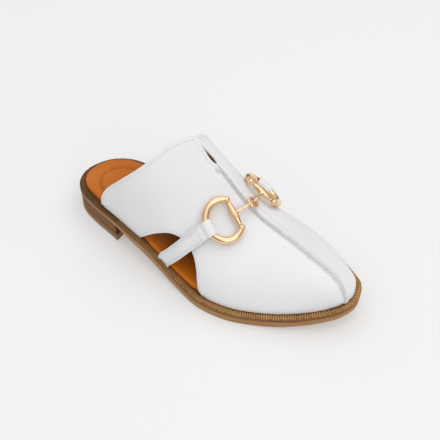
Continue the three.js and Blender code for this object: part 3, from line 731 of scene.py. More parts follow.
# Each crease: depth, start and lean along the panel, width, and its middle and spread up the panel.
CREASES = [(0.35, 110, 10, 5.0, 0.72, 0.22), (0.22, 122, 6, 4.0, 0.66, 0.18)]
FACE, CUT, INSIDE, FOLDED = range(4)  # the panel's materials, in the order make_panel lists them


def upper_inset(x):
    return 3.2 + 0.9 * ease(x, 110, 150)


SEAM_LINE = smooth_line(SEAM, 30)
feather_flat = inset_outline(upper_inset)
FEATHER = np.column_stack([feather_flat, welt_top(feather_flat[:, 0]) + GAP])
seam_foot = int(np.linalg.norm(FEATHER - SEAM_LINE[-1], axis=1).argmin())
FEATHERS = split_outline(FEATHER, seam_foot)


def walker(line):
    """Point of a line at a step: 0 to 1 goes by x up to the toe fan, 1 to 2 by length."""
    turn = int(np.argmax(line[:, 0] >= TOE_FAN))
    run = np.concatenate([[0], np.cumsum(np.linalg.norm(np.diff(line[turn:], axis=0), axis=1))])
    steps = np.concatenate([(line[:turn, 0] - UPPER_BACK) / (TOE_FAN - UPPER_BACK), 1 + run / run[-1]])
    return lambda step: np.stack([np.interp(step, steps, line[:, k]) for k in range(3)], -1)


ALONG_SEAM = walker(SEAM_LINE)
ALONG_FEATHER = {side: walker(line) for side, line in FEATHERS.items()}


def last_point(side, step, part):
    """Point of the last's surface: part 0 is the feather edge, 1 is the seam."""
    sign = SIDES[side]
    step = np.asarray(step, float)
    nudge = 0.004
    low, high = np.maximum(step - nudge, 0), np.minimum(step + nudge, 2)
    foot, top = ALONG_FEATHER[side](step), ALONG_SEAM(step)
    reach = np.linalg.norm(top - foot, axis=-1)[..., None]
    lean, rise, slope, flat = (column(SECTIONS[side], k, top[..., 0])[..., None] for k in range(4))
    foot_way = ALONG_FEATHER[side](high) - ALONG_FEATHER[side](low)
    foot_way[..., 2] = 0
    foot_way = unit(foot_way)
    outwards = np.stack([-foot_way[..., 1] * sign, foot_way[..., 0] * sign, 0 * foot_way[..., 0]], -1)
    seam_way = unit(ALONG_SEAM(high) - ALONG_SEAM(low))
    sideways = np.zeros_like(seam_way)
    sideways[..., 1] = sign
    sideways = unit(sideways - seam_way * (sideways * seam_way).sum(-1, keepdims=True))
    seam_out = -sign * np.cross(sideways, seam_way)
    angle = np.radians(slope)
    leave = sideways * np.cos(angle) - seam_out * np.sin(angle)
    p1 = foot + outwards * lean * reach + UP * rise * reach
    p2 = top + leave * flat * reach
    s = np.asarray(part, float)[..., None]
    return foot * (1 - s) ** 3 + 3 * p1 * s * (1 - s) ** 2 + 3 * p2 * s**2 * (1 - s) + top * s**3


def last_normal(side, step, part):
    step = np.clip(step, 0.003, 1.985)
    along = last_point(side, step + 0.003, part) - last_point(side, step - 0.003, part)
    above, below = (last_point(side, step, np.clip(part + nudge, 0, 1)) for nudge in (0.01, -0.01))
    return unit(np.cross(along, above - below) * -SIDES[side])


def rib_reach(side, step):
    return np.linalg.norm(ALONG_SEAM(step) - ALONG_FEATHER[side](step), axis=-1)


STEP_TABLE = np.linspace(0, 2, 801)
RUN_TABLE = {}
for side in SIDES:
    middle = (ALONG_SEAM(STEP_TABLE) + ALONG_FEATHER[side](STEP_TABLE)) / 2
    lengths = np.linalg.norm(np.diff(middle, axis=0), axis=1)
    RUN_TABLE[side] = np.concatenate([[0], np.cumsum(lengths)])


def to_panel(side, step, part):
    """Unrolled place on the panel, in millimetres, of a point of the last."""
    return np.stack([np.interp(step, STEP_TABLE, RUN_TABLE[side]), part * rib_reach(side, step)], -1)


def from_panel(side, flat):
    step = np.interp(flat[..., 0], RUN_TABLE[side], STEP_TABLE)
    return step, np.clip(flat[..., 1] / np.maximum(rib_reach(side, step), 1e-6), 0, 1)


GRID_STEP, GRID_PART = np.meshgrid(np.linspace(0, 1.6, 400), np.linspace(0, 1, 200), indexing="ij")


def find_side_view(side, targets):
    """Steps and parts of the surface where it meets side view points (x, z)."""
    grid = last_point(side, GRID_STEP, GRID_PART)
    found = []
    for x, z in targets:
        near = np.argmin((grid[..., 0] - x) ** 2 + (grid[..., 2] - z) ** 2)
        found.append((GRID_STEP.flat[near], GRID_PART.flat[near]))
    step, part = np.array(found).T
    goal = np.asarray(targets, float)
    for _ in range(8):
        here = last_point(side, step, part)
        ds = (last_point(side, step + 1e-4, part) - here) / 1e-4
        dp = (last_point(side, step, part + 1e-4) - here) / 1e-4
        miss = goal - here[:, [0, 2]]
        det = ds[:, 0] * dp[:, 2] - dp[:, 0] * ds[:, 2]
        det = np.where(np.abs(det) < 1e-3, 1e-3, det)
        more_step = (miss[:, 0] * dp[:, 2] - dp[:, 0] * miss[:, 1]) / det
        more_part = (ds[:, 0] * miss[:, 1] - miss[:, 0] * ds[:, 2]) / det
        step = np.clip(step + np.clip(more_step, -0.05, 0.05), 0, 2)
        part = np.clip(part + np.clip(more_part, -0.05, 0.05), 0, 1)
    return step, part


def slit_half_width(x):
    """The slit between the panels: nearly closed at the throat, open lower down."""
    part = np.clip((x - THROAT_X) / (SLIT_END - THROAT_X), 0, 1)
    return np.where(x < SLIT_END, 0.12 + 1.7 * np.sin(math.pi * part**2.5), 0.0)


def panel_outline(side):
    """The panel's edge in the unrolled plane, the stretch each point is on, and the stretches."""
    rear = smooth_line(TOPLINES[side], 10)
    arch = smooth_line(ARCH, 10)
    arch = arch[arch[:, 1] > welt_top(arch[:, 0]) + GAP]
    rear_steps, rear_parts = find_side_view(side, rear)
    rear_parts[0] = 1.0
    rear_parts[-1] = 0.0
    arch_steps, arch_parts = find_side_view(side, arch)
    arch_parts[0] = arch_parts[-1] = 0.0
    throat = rear_steps[0]
    seam_steps = np.concatenate([np.linspace(throat, 1, 160), np.linspace(1, 1.995, 160)[1:]])
    seam = to_panel(side, seam_steps, np.ones_like(seam_steps))
    seam[:, 1] -= slit_half_width(ALONG_SEAM(seam_steps)[:, 0])
    vamp_foot = np.linspace(1.995, arch_steps[-1], 160)
    quarter_foot = np.linspace(arch_steps[0], rear_steps[-1], 40)
    stretches = {
        "seam": seam,
        "vamp_foot": to_panel(side, vamp_foot, np.zeros_like(vamp_foot)),
        "arch": to_panel(side, arch_steps, arch_parts)[::-1],
        "quarter_foot": to_panel(side, quarter_foot, np.zeros_like(quarter_foot)),
        "topline": to_panel(side, rear_steps, rear_parts)[::-1],
    }
    points, names = [], []
    for name, line in stretches.items():
        line = even_line(line, RIM_PITCH)
        points.append(line[:-1])
        names += [name] * (len(line) - 1)
    return np.vstack(points), np.array(names), stretches


def distance_to(points, line):
    """Distance from each point to a line of short pieces."""
    starts, ways = line[:-1], np.diff(line, axis=0)
    lengths = np.maximum((ways**2).sum(1), 1e-12)
    best = np.full(len(points), 1e9)
    for start, way, length in zip(starts, ways, lengths):
        part = np.clip(((points - start) @ way) / length, 0, 1)
        best = np.minimum(best, np.linalg.norm(points - start - part[:, None] * way, axis=1))
    return best


def relief(side, step, part, edge_lines, flat):
    """Height of the leather over the last: the folded seam, stitch channels and soft creases."""
    seam_x = ALONG_SEAM(step)[:, 0]
    from_seam = (1 - part) * rib_reach(side, step)
    height = np.zeros(len(flat))
    if side == "medial":
        fold = 1.9 * ease(seam_x, SLIT_END - 2, SLIT_END + 7) * (1 - 0.45 * ease(seam_x, 238, 247))
        height += fold * (1 - ease(from_seam, 0.3, 6.5))
    else:
        height -= 0.35 * np.exp(-(((from_seam - 2.1) / 1.2) ** 2)) * ease(seam_x, SLIT_END, SLIT_END + 6)
    for line in edge_lines:
        away = distance_to(flat, line)
        height -= 0.16 * np.exp(-(((away - STITCH_INSET) / 0.55) ** 2))
    for depth, start, lean, width, middle, spread in CREASES:
        across = (flat[:, 0] - start - lean * part) / width
        height -= depth * np.exp(-(across**2)) * np.exp(-(((part - middle) / spread) ** 2))
    return height


def triangulate(loop):
    """Even triangles inside a loop: their points, their corners, and the loop's points."""
    low, high = loop.min(0), loop.max(0)
    columns = np.arange(low[0], high[0], PANEL_PITCH)
    rows = np.arange(low[1], high[1], PANEL_PITCH * 0.866)
    grid = np.array([(x + (k % 2) * PANEL_PITCH / 2, y) for k, y in enumerate(rows) for x in columns])
    grid = grid[inside(grid, loop)]
    grid = grid[distance_to(grid, np.vstack([loop, loop[:1]])) > 0.8]
    count = len(loop)
    spots = [Vector(p) for p in np.vstack([loop, grid])]
    edges = [(i, (i + 1) % count) for i in range(count)]
    vertices, _, triangles, sources = delaunay_2d_cdt(spots, edges, [list(range(count))], 1, 1e-6, True)[:4]
    flat = np.array([(v.x, v.y) for v in vertices])
    middles = flat[np.array([list(t) for t in triangles])].mean(1)
    triangles = [list(t) for t, keep in zip(triangles, inside(middles, loop)) if keep]
    made_from = {old: new for new, olds in enumerate(sources) for old in olds}
    return flat, triangles, [made_from[i] for i in range(count)]


def rim_directions(side, flat, surface, points, normals):
    """Directions along the leather that point away from the panel, all round its rim."""
    following = np.roll(flat, -1, 0)
    way = following - np.roll(flat, 1, 0)
    area = (flat[:, 0] * following[:, 1] - following[:, 0] * flat[:, 1]).sum()
    probe = flat + np.stack([way[:, 1], -way[:, 0]], 1) * math.copysign(0.2, area)
    outward = last_point(side, *from_panel(side, probe)) - surface
    away = np.cross(unit(np.roll(points, -1, 0) - np.roll(points, 1, 0)), normals)
    return unit(away * np.sign((away * outward).sum()))


PANELS = {}


def make_panel(side):
    """Two skins of leather, joined round the rim by a rounded edge or, along the seam, a fold."""
    medial = side == "medial"
    loop, names, lines = panel_outline(side)
    flat, triangles, rim = triangulate(loop)
    count, total = len(rim), len(flat)
    step, part = from_panel(side, flat)
    surface = last_point(side, step, part)
    normal = last_normal(side, step, part)
    height = relief(side, step, part, [lines["arch"], lines["topline"]], flat)
    outer = surface + normal * height[:, None]
    inner = surface - normal * WALL
    a, b, c = outer[triangles[0]]
    if np.dot(np.cross(b - a, c - a), normal[triangles[0][0]]) <= 0:
        triangles = [t[::-1] for t in triangles]
    faces, kinds = [], []
    for t in triangles:
        faces += [t, [i + total for i in t][::-1]]
        kinds += [FACE, INSIDE]

    rim_points, rim_normals = outer[rim], normal[rim]
    away = rim_directions(side, flat[rim], surface[rim], rim_points, rim_normals)
    seam_x = ALONG_SEAM(step[rim])[:, 0]
    on_seam = (names == "seam") & (seam_x > SLIT_END)
    folded = ease(seam_x, SLIT_END, SLIT_END + 6) * on_seam * medial
    bulge = np.where(np.char.endswith(names, "foot"), FOOT_BULGE, EDGE_BULGE)
    bulge = np.where(on_seam, FOLD_BULGE * folded if medial else LAP_BULGE, bulge)[:, None]
    folded = folded[:, None]
    thickness = (height[rim] + WALL)[:, None]
    points, rings = [outer, inner], [rim]
    for k, (plain, fold) in enumerate(zip(EDGE_PROFILE, FOLD_PROFILE)):
        out, down = (plain * (1 - folded) + fold * folded).T[:, :, None]
        points.append(rim_points + away * bulge * out - rim_normals * thickness * down)
        start = 2 * total + k * count
        rings.append(list(range(start, start + count)))
    rings.append([i + total for i in rim])

    strip = []
    for row, (above, below) in enumerate(zip(rings[:-1], rings[1:])):
        for i in range(count):
            j = (i + 1) % count
            strip.append((above[i], below[i], below[j], above[j]))
            # The medial fold's flank along the seam takes the grey painted shade.
            if on_seam[i]:
                kinds.append(FOLDED if medial and row < 4 else FACE)
            else:
                kinds.append((FACE, CUT, CUT, CUT, CUT, INSIDE)[row])
    points = np.vstack(points)
    a, b, c, _ = points[list(strip[0])]
    if np.dot(np.cross(b - a, c - a), away[0] + rim_normals[0]) < 0:
        strip = [f[::-1] for f in strip]
    PANELS[side] = lines
    materials = [WHITE, EDGE, LINING, SEAM_FLANK_SHADE]
    settle(make_mesh("upper_" + side, points, faces + strip, materials, kinds, sharp=75), "upper", "upper")


for side in SIDES:
    make_panel(side)


# ---------- the bit ----------

HOOP_WIRE = WIRE + 0.65
PIN_RADIUS = 0.8
BARREL_END, BARREL_SWELL, BARREL_BORE = 1.6, 1.2, 1.15
STEM_RADIUS = 1.15
# The collar beside each ball: distance from the ball's middle, radius.
COLLAR = [
    (0.9, PIN_RADIUS), (1.3, 1.9), (1.5, 2.1), (1.9, 2.15), (2.2, 1.9), (2.4, 1.45), (2.6, PIN_RADIUS),
]


def bar_frame(side, inward):
    """Rows: along the bar, square to it towards inward, and off the foot; then the bar's middle."""
    bar, toeward, _ = (np.array(v, float) for v in BIT[side])
    along = unit(toeward) * (-1 if side == "medial" else 1)
    across = unit(inward - along * np.dot(along, inward))
    return np.stack([along, across, np.cross(along, across)]), bar


def ring_frame(side):
    bar, _, strap = (np.array(v, float) for v in BIT[side])
    return bar_frame(side, bar - strap)


def circle(count):
    return np.linspace(0, 2 * math.pi, count, endpoint=False)


def tube(path, radii, sides=20, up=(0, 0, 1)):
    """A closed round rod along a path, with a radius at each of its points."""
    path = np.asarray(path, float)
    ways = unit(np.gradient(path, axis=0))
    normal = np.array(up, float)
    rings = []
    for point, way, radius in zip(path, ways, radii):
        normal = unit(normal - way * np.dot(normal, way))
        other = np.cross(way, normal)
        rings.append([point + radius * (math.cos(t) * normal + math.sin(t) * other) for t in circle(sides)])
    return loft(rings)


def lathe_points(profile, axis, centre, turn):
    """The profile's points, each (distance along the axis, radius), at one turn round the axis."""
    axis = unit(np.asarray(axis, float))
    side = unit(np.cross(axis, (0.3, 0.5, 0.8)))
    out = math.cos(turn) * side + math.sin(turn) * np.cross(axis, side)
    return [centre + axis * along + out * radius for along, radius in profile]


def turned(profile, axis, centre, sides=28):
    """A solid lathe shape, closed at both ends."""
    rows = [lathe_points(profile, axis, centre, t) for t in circle(sides)]
    return loft(np.swapaxes(rows, 0, 1))


def open_ring(profile, axis, centre, sides=28):
    """A lathe shape with a bore: the profile goes out along the outside and back inside."""
    return closed_ring([lathe_points(profile, axis, centre, t) for t in circle(sides)])


def closed_ring(rings):
    """A body whose rings run round to the first one again."""
    rings = np.asarray(rings, float)
    rows, count, _ = rings.shape
    points = rings.reshape(-1, 3)
    faces = []
    for i in range(rows):
        k = (i + 1) % rows
        for j in range(count):
            m = (j + 1) % count
            faces.append((i * count + j, i * count + m, k * count + m, k * count + j))
    p = points[list(faces[0])]
    if np.dot(np.cross(p[1] - p[0], p[2] - p[0]), p.mean(0) - rings[0].mean(0)) < 0:
        faces = [f[::-1] for f in faces]
    return points, faces


def ball(centre, radius, axis):
    turns = np.linspace(0.02, math.pi - 0.02, 18)
    return turned([(-radius * math.cos(t), radius * math.sin(t)) for t in turns], axis, centre)


def hoop_line(side):
    """The hoop in the ring's plane: an ellipse arc from ball to ball, RING_DEPTH deep."""
    half = BALL_SPACING / 2
    shift = -HOOP_SHIFT if side == "medial" else HOOP_SHIFT
    lift = math.sqrt(1 - (half / RING_HALF_WIDTH) ** 2)
    waist = RING_DEPTH * lift / (1 + lift)
    start = math.asin(lift)
    turn = np.linspace(math.pi + start, -start, 90)
    depth = waist + (RING_DEPTH - waist) * np.sin(turn)
    slip = shift * np.sin(np.clip(depth / RING_DEPTH, 0, 1) * math.pi / 2)
    return np.column_stack([RING_HALF_WIDTH * np.cos(turn) + slip, -depth])


def make_ring(side):
    axes, bar = ring_frame(side)
    half = axes[0] * BALL_SPACING / 2
    path = bar + hoop_line(side) @ axes[:2]
    radii = HOOP_WIRE * (1.0 - 0.22 * np.abs(np.linspace(-1, 1, len(path))) ** 5)
    parts = [tube(path, radii, 24, axes[2])]
    for end in (-1, 1):
        parts.append(ball(bar + half * end, BALL_RADIUS, axes[0]))
        parts.append(turned(COLLAR, -axes[0] * end, bar + half * end))
    parts.append(tube([bar - half, bar, bar + half], [PIN_RADIUS] * 3, 16))
    settle(make_mesh("bit_ring_" + side + "_polished", *joined(parts), [GOLD]), "bit", "bit_ring_" + side)


def make_link(side, eye, normal, eye_radius, eye_wire):
    """A barrel that turns on the ring's pin, with a stem that ends in an eye."""
    bar = np.array(BIT[side][0], float)
    inward = eye - bar
    axes, _ = bar_frame(side, inward)
    half = BALL_SPACING / 2 - BALL_RADIUS - 0.35
    barrel = []
    for t in np.linspace(-1, 1, 33):
        lip = 0.25 * math.exp(-(((abs(t) - 0.97) / 0.04) ** 2))
        barrel.append((t * half, BARREL_END + BARREL_SWELL * (1 - abs(t) ** 2.2) + lip))
    barrel += [(half, BARREL_BORE), (-half, BARREL_BORE)]
    in_plane = unit(inward - normal * np.dot(inward, normal))
    end = eye - in_plane * (eye_radius - 0.3)
    length = np.linalg.norm(end - bar)
    run = np.linspace(BARREL_END, length, 22)
    flare = 0.75 * np.exp(-(((run - 1.8) / 1.2) ** 2)) + 0.3 * np.exp(-(((run - length) / 1.2) ** 2))
    stem = tube(bar + unit(end - bar) * run[:, None], STEM_RADIUS + flare, 18)
    side_way = unit(np.cross(normal, in_plane))
    rings = []
    for t in circle(48):
        out = math.cos(t) * in_plane + math.sin(t) * side_way
        rings.append([
            eye + out * (eye_radius + eye_wire * math.cos(a)) + normal * eye_wire * math.sin(a)
            for a in circle(16)
        ])
    body = joined([open_ring(barrel, axes[0], bar), stem, closed_ring(rings)])
    settle(make_mesh("bit_link_" + side + "_polished", *body, [GOLD]), "bit", "bit_link_" + side)


def make_bit():
    to_medial = unit(np.array(BIT["medial"][0], float) - BIT_PEAK)
    lying = np.array((0.49, 0, 0.87))
    lying = unit(lying - to_medial * np.dot(lying, to_medial))
    standing = np.cross(to_medial, lying)
    for side in SIDES:
        make_ring(side)
    make_link("lateral", BIT_PEAK, lying, 3.5, 1.25)
    make_link("medial", BIT_PEAK + to_medial * 3.3, standing, 2.9, 1.05)


make_bit()


# ---------- the straps ----------

STRAP_CORNER = 0.7
LOOP_HOLE, LOOP_OUTER = WIRE + 0.8, WIRE + 2.1
# The loop round the ring's wire: distance along the wire, radius, out along the outside and back inside.
LOOP_PROFILE = [
    (-6, LOOP_HOLE + 0.3), (-6, LOOP_OUTER - 0.45), (-5.85, LOOP_OUTER - 0.15), (-5.5, LOOP_OUTER),
    (-3, LOOP_OUTER + 0.03), (0, LOOP_OUTER + 0.05), (3, LOOP_OUTER + 0.03), (5.5, LOOP_OUTER),
    (5.85, LOOP_OUTER - 0.15), (6, LOOP_OUTER - 0.45), (6, LOOP_HOLE + 0.3), (5.6, LOOP_HOLE),
    (0, LOOP_HOLE), (-5.6, LOOP_HOLE),
]
STRAP_PATHS = {}


def strap_frames(side, count):
    """Points up the middle of the strap with their outward and width directions, and its ring."""
    foot_out, high_out, middle = STRAPS[side]
    axes, bar = ring_frame(side)
    shift = -HOOP_SHIFT if side == "medial" else HOOP_SHIFT
    wire = bar + axes[0] * shift + axes[1] * (0.45 - RING_DEPTH)
    lead = wire - axes[1] * 4.5 - axes[2] * 1.1
    path = even_line(smooth_line(list(map(np.array, middle)) + [lead, wire], 30), 0.35)
    length = np.linalg.norm(np.diff(path, axis=0), axis=1).sum()
    part = np.linspace(0, 1, count) * (1 - (WIRE + 1.3) / length)
    run = np.linspace(0, 1, len(path))
    points = np.stack([np.interp(part, run, path[:, k]) for k in range(3)], 1)
    ways = unit(np.gradient(points, axis=0))
    blend_high = ease(part, 0, 0.65)[:, None]
    blend_ring = ease(part, 0.7, 1)[:, None]
    out = np.array(foot_out) * (1 - blend_high) + np.array(high_out) * blend_high
    out = out * (1 - blend_ring) + axes[2] * blend_ring
    out = unit(out - ways * (out * ways).sum(1)[:, None])
    return points, out, np.cross(ways, out), wire, axes


def make_strap(side):
    points, out, across, wire, axes = strap_frames(side, 70)
    half, width = STRAP_THICKNESS / 2, STRAP_WIDTH / 2
    section = []
    for corner in ((1, 1), (1, -1), (-1, -1), (-1, 1)):
        for turn in np.linspace(0, math.pi / 2, 5):
            first, second = math.cos(turn), math.sin(turn)
            if corner[0] * corner[1] < 0:
                first, second = second, first
            section.append((
                corner[0] * (width - STRAP_CORNER + STRAP_CORNER * first),
                corner[1] * (half - STRAP_CORNER + STRAP_CORNER * second),
            ))
    section = np.array(section)
    dense = []
    for a, b in zip(section, np.roll(section, -1, 0)):
        dense.append(a)
        if abs(b[0] - a[0]) > 2:
            dense += [a + (b - a) * t for t in np.linspace(0, 1, 9)[1:-1]]
    section = np.array(dense)
    rings = []
    for k, point in enumerate(points):
        pinch = 1.0 - 0.03 * math.exp(-((k / 8.0) ** 2))
        ring = point + across[k] * section[:, :1] * pinch + out[k] * section[:, 1:]
        if k == 0:
            ring[:, 2] = welt_top(ring[:, 0]) + 0.12
        rings.append(ring)
    band = loft(rings)
    rings = []
    for t in circle(56):
        radial = math.cos(t) * axes[1] + math.sin(t) * axes[2]
        rings.append([wire + axes[0] * along + radial * radius for along, radius in LOOP_PROFILE])
    STRAP_PATHS[side] = (points, out, across)
    body = joined([band, closed_ring(rings)])
    settle(make_mesh("strap_" + side + "_leather", *body, [WHITE], sharp=50), "strap", "strap_" + side)


for side in SIDES:
    make_strap(side)


# ---------- stitches and ribs that repeat along a line ----------

def repeat_tree(name):
    """Sets one small body at even steps along lines, square to their outward direction."""
    tree = bpy.data.node_groups.new(name, "GeometryNodeTree")
    tree.is_modifier = True
    face = tree.interface
    face.new_socket("Geometry", in_out="INPUT", socket_type="NodeSocketGeometry")
    sockets = {}
    for label, kind in (("Pitch", "Float"), ("Body", "Object"), ("Uneven", "Float"), ("Finish", "Material")):
        sockets[label] = face.new_socket(label, in_out="INPUT", socket_type="NodeSocket" + kind).identifier
    face.new_socket("Geometry", in_out="OUTPUT", socket_type="NodeSocketGeometry")
    nodes = tree.nodes
    start, end = nodes.new("NodeGroupInput"), nodes.new("NodeGroupOutput")
    curve = nodes.new("GeometryNodeMeshToCurve")
    resample = nodes.new("GeometryNodeResampleCurve")
    resample.mode = "LENGTH"
    outward = nodes.new("GeometryNodeInputNamedAttribute")
    outward.data_type = "FLOAT_VECTOR"
    outward.inputs["Name"].default_value = "outward"
    tangent = nodes.new("GeometryNodeInputTangent")
    axes = nodes.new("FunctionNodeAxesToRotation")
    axes.primary_axis = "Z"
    axes.secondary_axis = "X"
    info = nodes.new("GeometryNodeObjectInfo")
    info.inputs["As Instance"].default_value = True
    instances = nodes.new("GeometryNodeInstanceOnPoints")
    chance = nodes.new("FunctionNodeRandomValue")
    chance.data_type = "FLOAT"
    chance.inputs["Seed"].default_value = 11
    chance.inputs[2].default_value = -1.0
    chance.inputs[3].default_value = 1.0
    spread = nodes.new("ShaderNodeMath")
    spread.operation = "MULTIPLY_ADD"
    spread.inputs[2].default_value = 1.0
    realize = nodes.new("GeometryNodeRealizeInstances")
    dress = nodes.new("GeometryNodeSetMaterial")
    for source, output, target, entry in (
        (start, "Geometry", curve, "Mesh"),
        (curve, "Curve", resample, "Curve"),
        (start, "Pitch", resample, "Length"),
        (resample, "Curve", instances, "Points"),
        (outward, "Attribute", axes, "Primary Axis"),
        (tangent, "Tangent", axes, "Secondary Axis"),
        (axes, "Rotation", instances, "Rotation"),
        (start, "Body", info, "Object"),
        (info, "Geometry", instances, "Instance"),
        (chance, 1, spread, 0),
        (start, "Uneven", spread, 1),
        (spread, "Value", instances, "Scale"),
        (instances, "Instances", realize, "Geometry"),
        (realize, "Geometry", dress, "Geometry"),
        (start, "Finish", dress, "Material"),
        (dress, "Geometry", end, "Geometry"),
    ):
        tree.links.new(source.outputs[output], target.inputs[entry])
    return tree, sockets


REPEAT, SOCKETS = repeat_tree("repeat_along_lines")


def small_body(name, points, faces):
    mesh = bpy.data.meshes.new(name)
    mesh.from_pydata((np.asarray(points, float) * MM).tolist(), [], [list(f) for f in faces])
    mesh.shade_smooth()
    return bpy.data.objects.new(name, mesh)


def stitch_body(name, length, width, height):
    """One stitch: a short rod that dips into the leather at both ends."""
    rings = []
    for t in np.linspace(-1, 1, 7):
        size = math.sqrt(max(1 - (abs(t) * 0.93) ** 3, 0.05))
        lift = height * (1 - t * t) - 0.25 * height
        rings.append([
            (t * length / 2, width / 2 * size * math.cos(a), lift + width / 2 * size * math.sin(a))
            for a in circle(8)
        ])
    return small_body(name, *loft(rings))


def rib_body(name, width, height):
    """One tooth of the knurled welt: it runs outwards over the top and down the rounded edge."""
    path = np.array([
        (1.75, -0.2), (1.5, 0), (0.3, 0), (-0.9, 0),
        (-1.45, -0.1), (-1.85, -0.4), (-2.05, -0.9), (-2.1, -1.35),
    ])
    ways = unit(np.gradient(path, axis=0))
    rings = []
    for (out, rise), way in zip(path, ways):
        normal = np.array((way[1], -way[0]))
        normal = normal * (1 if normal @ (-0.5, 1) > 0 else -1)
        ring = []
        for turn in np.linspace(0, math.pi, 6):
            lift = height * math.sin(turn) - 0.25 * (math.sin(turn) < 0.1)
            ring.append((width / 2 * math.cos(turn), out + normal[0] * lift, rise + normal[1] * lift))
        rings.append(ring)
    return small_body(name, *loft(rings))


def repeat_along(name, lines, body, pitch, uneven, finish, slot):
    """lines: list of (points, outward directions). Returns the finished piece."""
    mesh = bpy.data.meshes.new(name)
    points, outward, edges = [], [], []
    for line, directions in lines:
        start = len(points)
        points += place(line).tolist()
        outward += np.asarray(directions, float).tolist()
        edges += [(start + i, start + i + 1) for i in range(len(line) - 1)]
    mesh.from_pydata(points, edges, [])
    attribute = mesh.attributes.new("outward", "FLOAT_VECTOR", "POINT")
    attribute.data.foreach_set("vector", np.asarray(outward, float).ravel())
    guide = bpy.data.objects.new(name, mesh)
    bpy.context.scene.collection.objects.link(guide)
    modifier = guide.modifiers.new("repeat", "NODES")
    modifier.node_group = REPEAT
    settings = {"Pitch": pitch * MM, "Body": body, "Uneven": uneven, "Finish": finish}
    for label, value in settings.items():
        modifier[SOCKETS[label]] = value
    bpy.context.view_layer.update()
    graph = bpy.context.evaluated_depsgraph_get()
    made = bpy.data.meshes.new_from_object(guide.evaluated_get(graph))
    guide.modifiers.clear()
    guide.data = made
    made.name = name
    if not made.materials:
        made.materials.append(finish)
    return settle(guide, slot)


def on_panel(side, flat, lift):
    step, part = from_panel(side, flat)
    normal = last_normal(side, step, part)
    height = relief(side, step, part, [], flat) - 0.12
    return last_point(side, step, part) + normal * (height + lift)[:, None], normal


def inset_line(line, distance, towards):
    """A line beside another one in the unrolled plane, on the side of a given point."""
    line = even_line(line, 0.8)
    ways = unit(np.gradient(line, axis=0))
    beside = np.stack([ways[:, 1], -ways[:, 0]], 1)
    middle = len(line) // 2
    if np.dot(beside[middle], np.asarray(towards) - line[middle]) < 0:
        beside = -beside
    return line + beside * distance


def panel_rows(side):
    """Stitch rows that follow the panel's own edges."""
    lines = PANELS[side]
    topline, arch, seam = lines["topline"], lines["arch"], lines["seam"]
    step, _ = from_panel(side, seam)
    slit = seam[ALONG_SEAM(step)[:, 0] < SLIT_END + 3]
    return [
        inset_line(topline, STITCH_INSET, (75.0, 45.0))[3:-3],
        inset_line(arch, STITCH_INSET, (arch[:, 0].mean(), arch[:, 1].max() + 40))[3:-3],
        inset_line(slit, STITCH_INSET, (slit[:, 0].mean(), 0))[2:],
    ]


def make_stitches():
    stitch = stitch_body("stitch", 1.9, 0.62, 0.22)
    for side in SIDES:
        lines = [on_panel(side, row, np.full(len(row), 0.06)) for row in panel_rows(side)]
        repeat_along("edge_stitches_" + side, lines, stitch, 2.5, 0.08, WHITE_THREAD, "upper")
    seam_steps = np.linspace(0, 1.97, 400)
    seam_x = ALONG_SEAM(seam_steps)[:, 0]
    seam_steps = seam_steps[seam_x > SLIT_END + 2]
    row = to_panel("lateral", seam_steps, np.ones_like(seam_steps))
    row[:, 1] -= 1.95
    seam_stitch = stitch_body("seam_stitch", 2.3, 0.8, 0.35)
    lines = [on_panel("lateral", row, np.full(len(row), 0.25))]
    repeat_along("seam_stitches", lines, seam_stitch, 2.9, 0.15, WHITE_THREAD, "upper")
    tack = []
    for x in np.linspace(SLIT_END + 0.4, SLIT_END + 4.0, 5):
        step = np.full(13, (x - UPPER_BACK) / (TOE_FAN - UPPER_BACK))
        flat = to_panel("lateral", step, np.ones(13))
        flat[:, 1] -= np.linspace(0.2, 3.6, 13)
        tack.append(on_panel("lateral", flat, np.full(13, 0.3)))
    repeat_along("bar_tack", tack, stitch, 1.6, 0.05, WHITE_THREAD, "upper")
    strap_lines = []
    for side in SIDES:
        points, out, across = STRAP_PATHS[side]
        lift = STRAP_THICKNESS / 2 + 0.08
        for offset in (-4.1, 4.1):
            keep = slice(6, len(points) - 7)
            strap_lines.append((points[keep] + across[keep] * offset + out[keep] * lift, out[keep]))
        for back in (7, 14):
            at = len(points) - back
            span = np.linspace(-4.1, 4.1, 12)[:, None]
            row = points[at] + across[at] * span + out[at] * lift
            strap_lines.append((row, np.repeat(out[at][None], 12, 0)))
    repeat_along("strap_stitches", strap_lines, stitch, 2.4, 0.08, WHITE_THREAD, "strap")
    turns = np.radians(np.linspace(62, 298, 120))
    x = PAD_CENTRE[0] + PAD_RADII[0] * np.cos(turns)
    y = PAD_CENTRE[1] + PAD_RADII[1] * np.sin(turns)
    arc = np.stack([x, y, welt_top(x) + INSOLE + pad_height(x, y) + 0.3], 1)
    pad_stitch = stitch_body("pad_stitch", 2.2, 0.7, 0.25)
    lines = [(arc, np.repeat([(0, 0, 1)], len(arc), 0))]
    repeat_along("heel_pad_stitches", lines, pad_stitch, 3.2, 0.06, TAN_THREAD, "insole")


RIB_INSET = 2.2
RIB_START = 62


def make_ribs():
    """The knurled top edge of the welt runs from waist to waist round the toe."""
    closed = inset_outline(RIB_INSET)
    sides = split_outline(closed, int(closed[:, 0].argmax()))
    lateral, medial = (sides[side][sides[side][:, 0] > RIB_START] for side in ("lateral", "medial"))
    line = even_line(np.vstack([lateral, medial[::-1][1:]]), 0.8)
    x = line[:, 0]
    path = np.column_stack([line, welt_top(x) - 0.22])
    slope = welt_top(x + 0.5) - welt_top(x - 0.5)
    outward = unit(np.stack([-slope, np.zeros(len(x)), np.ones(len(x))], 1))
    rib = rib_body("rib", 1.15, 0.24)
    repeat_along("welt_ribs", [(path, outward)], rib, 1.75, 0.06, RIB_FINISH, "welt")


make_stitches()
make_ribs()


# ---------- floor, light and camera ----------

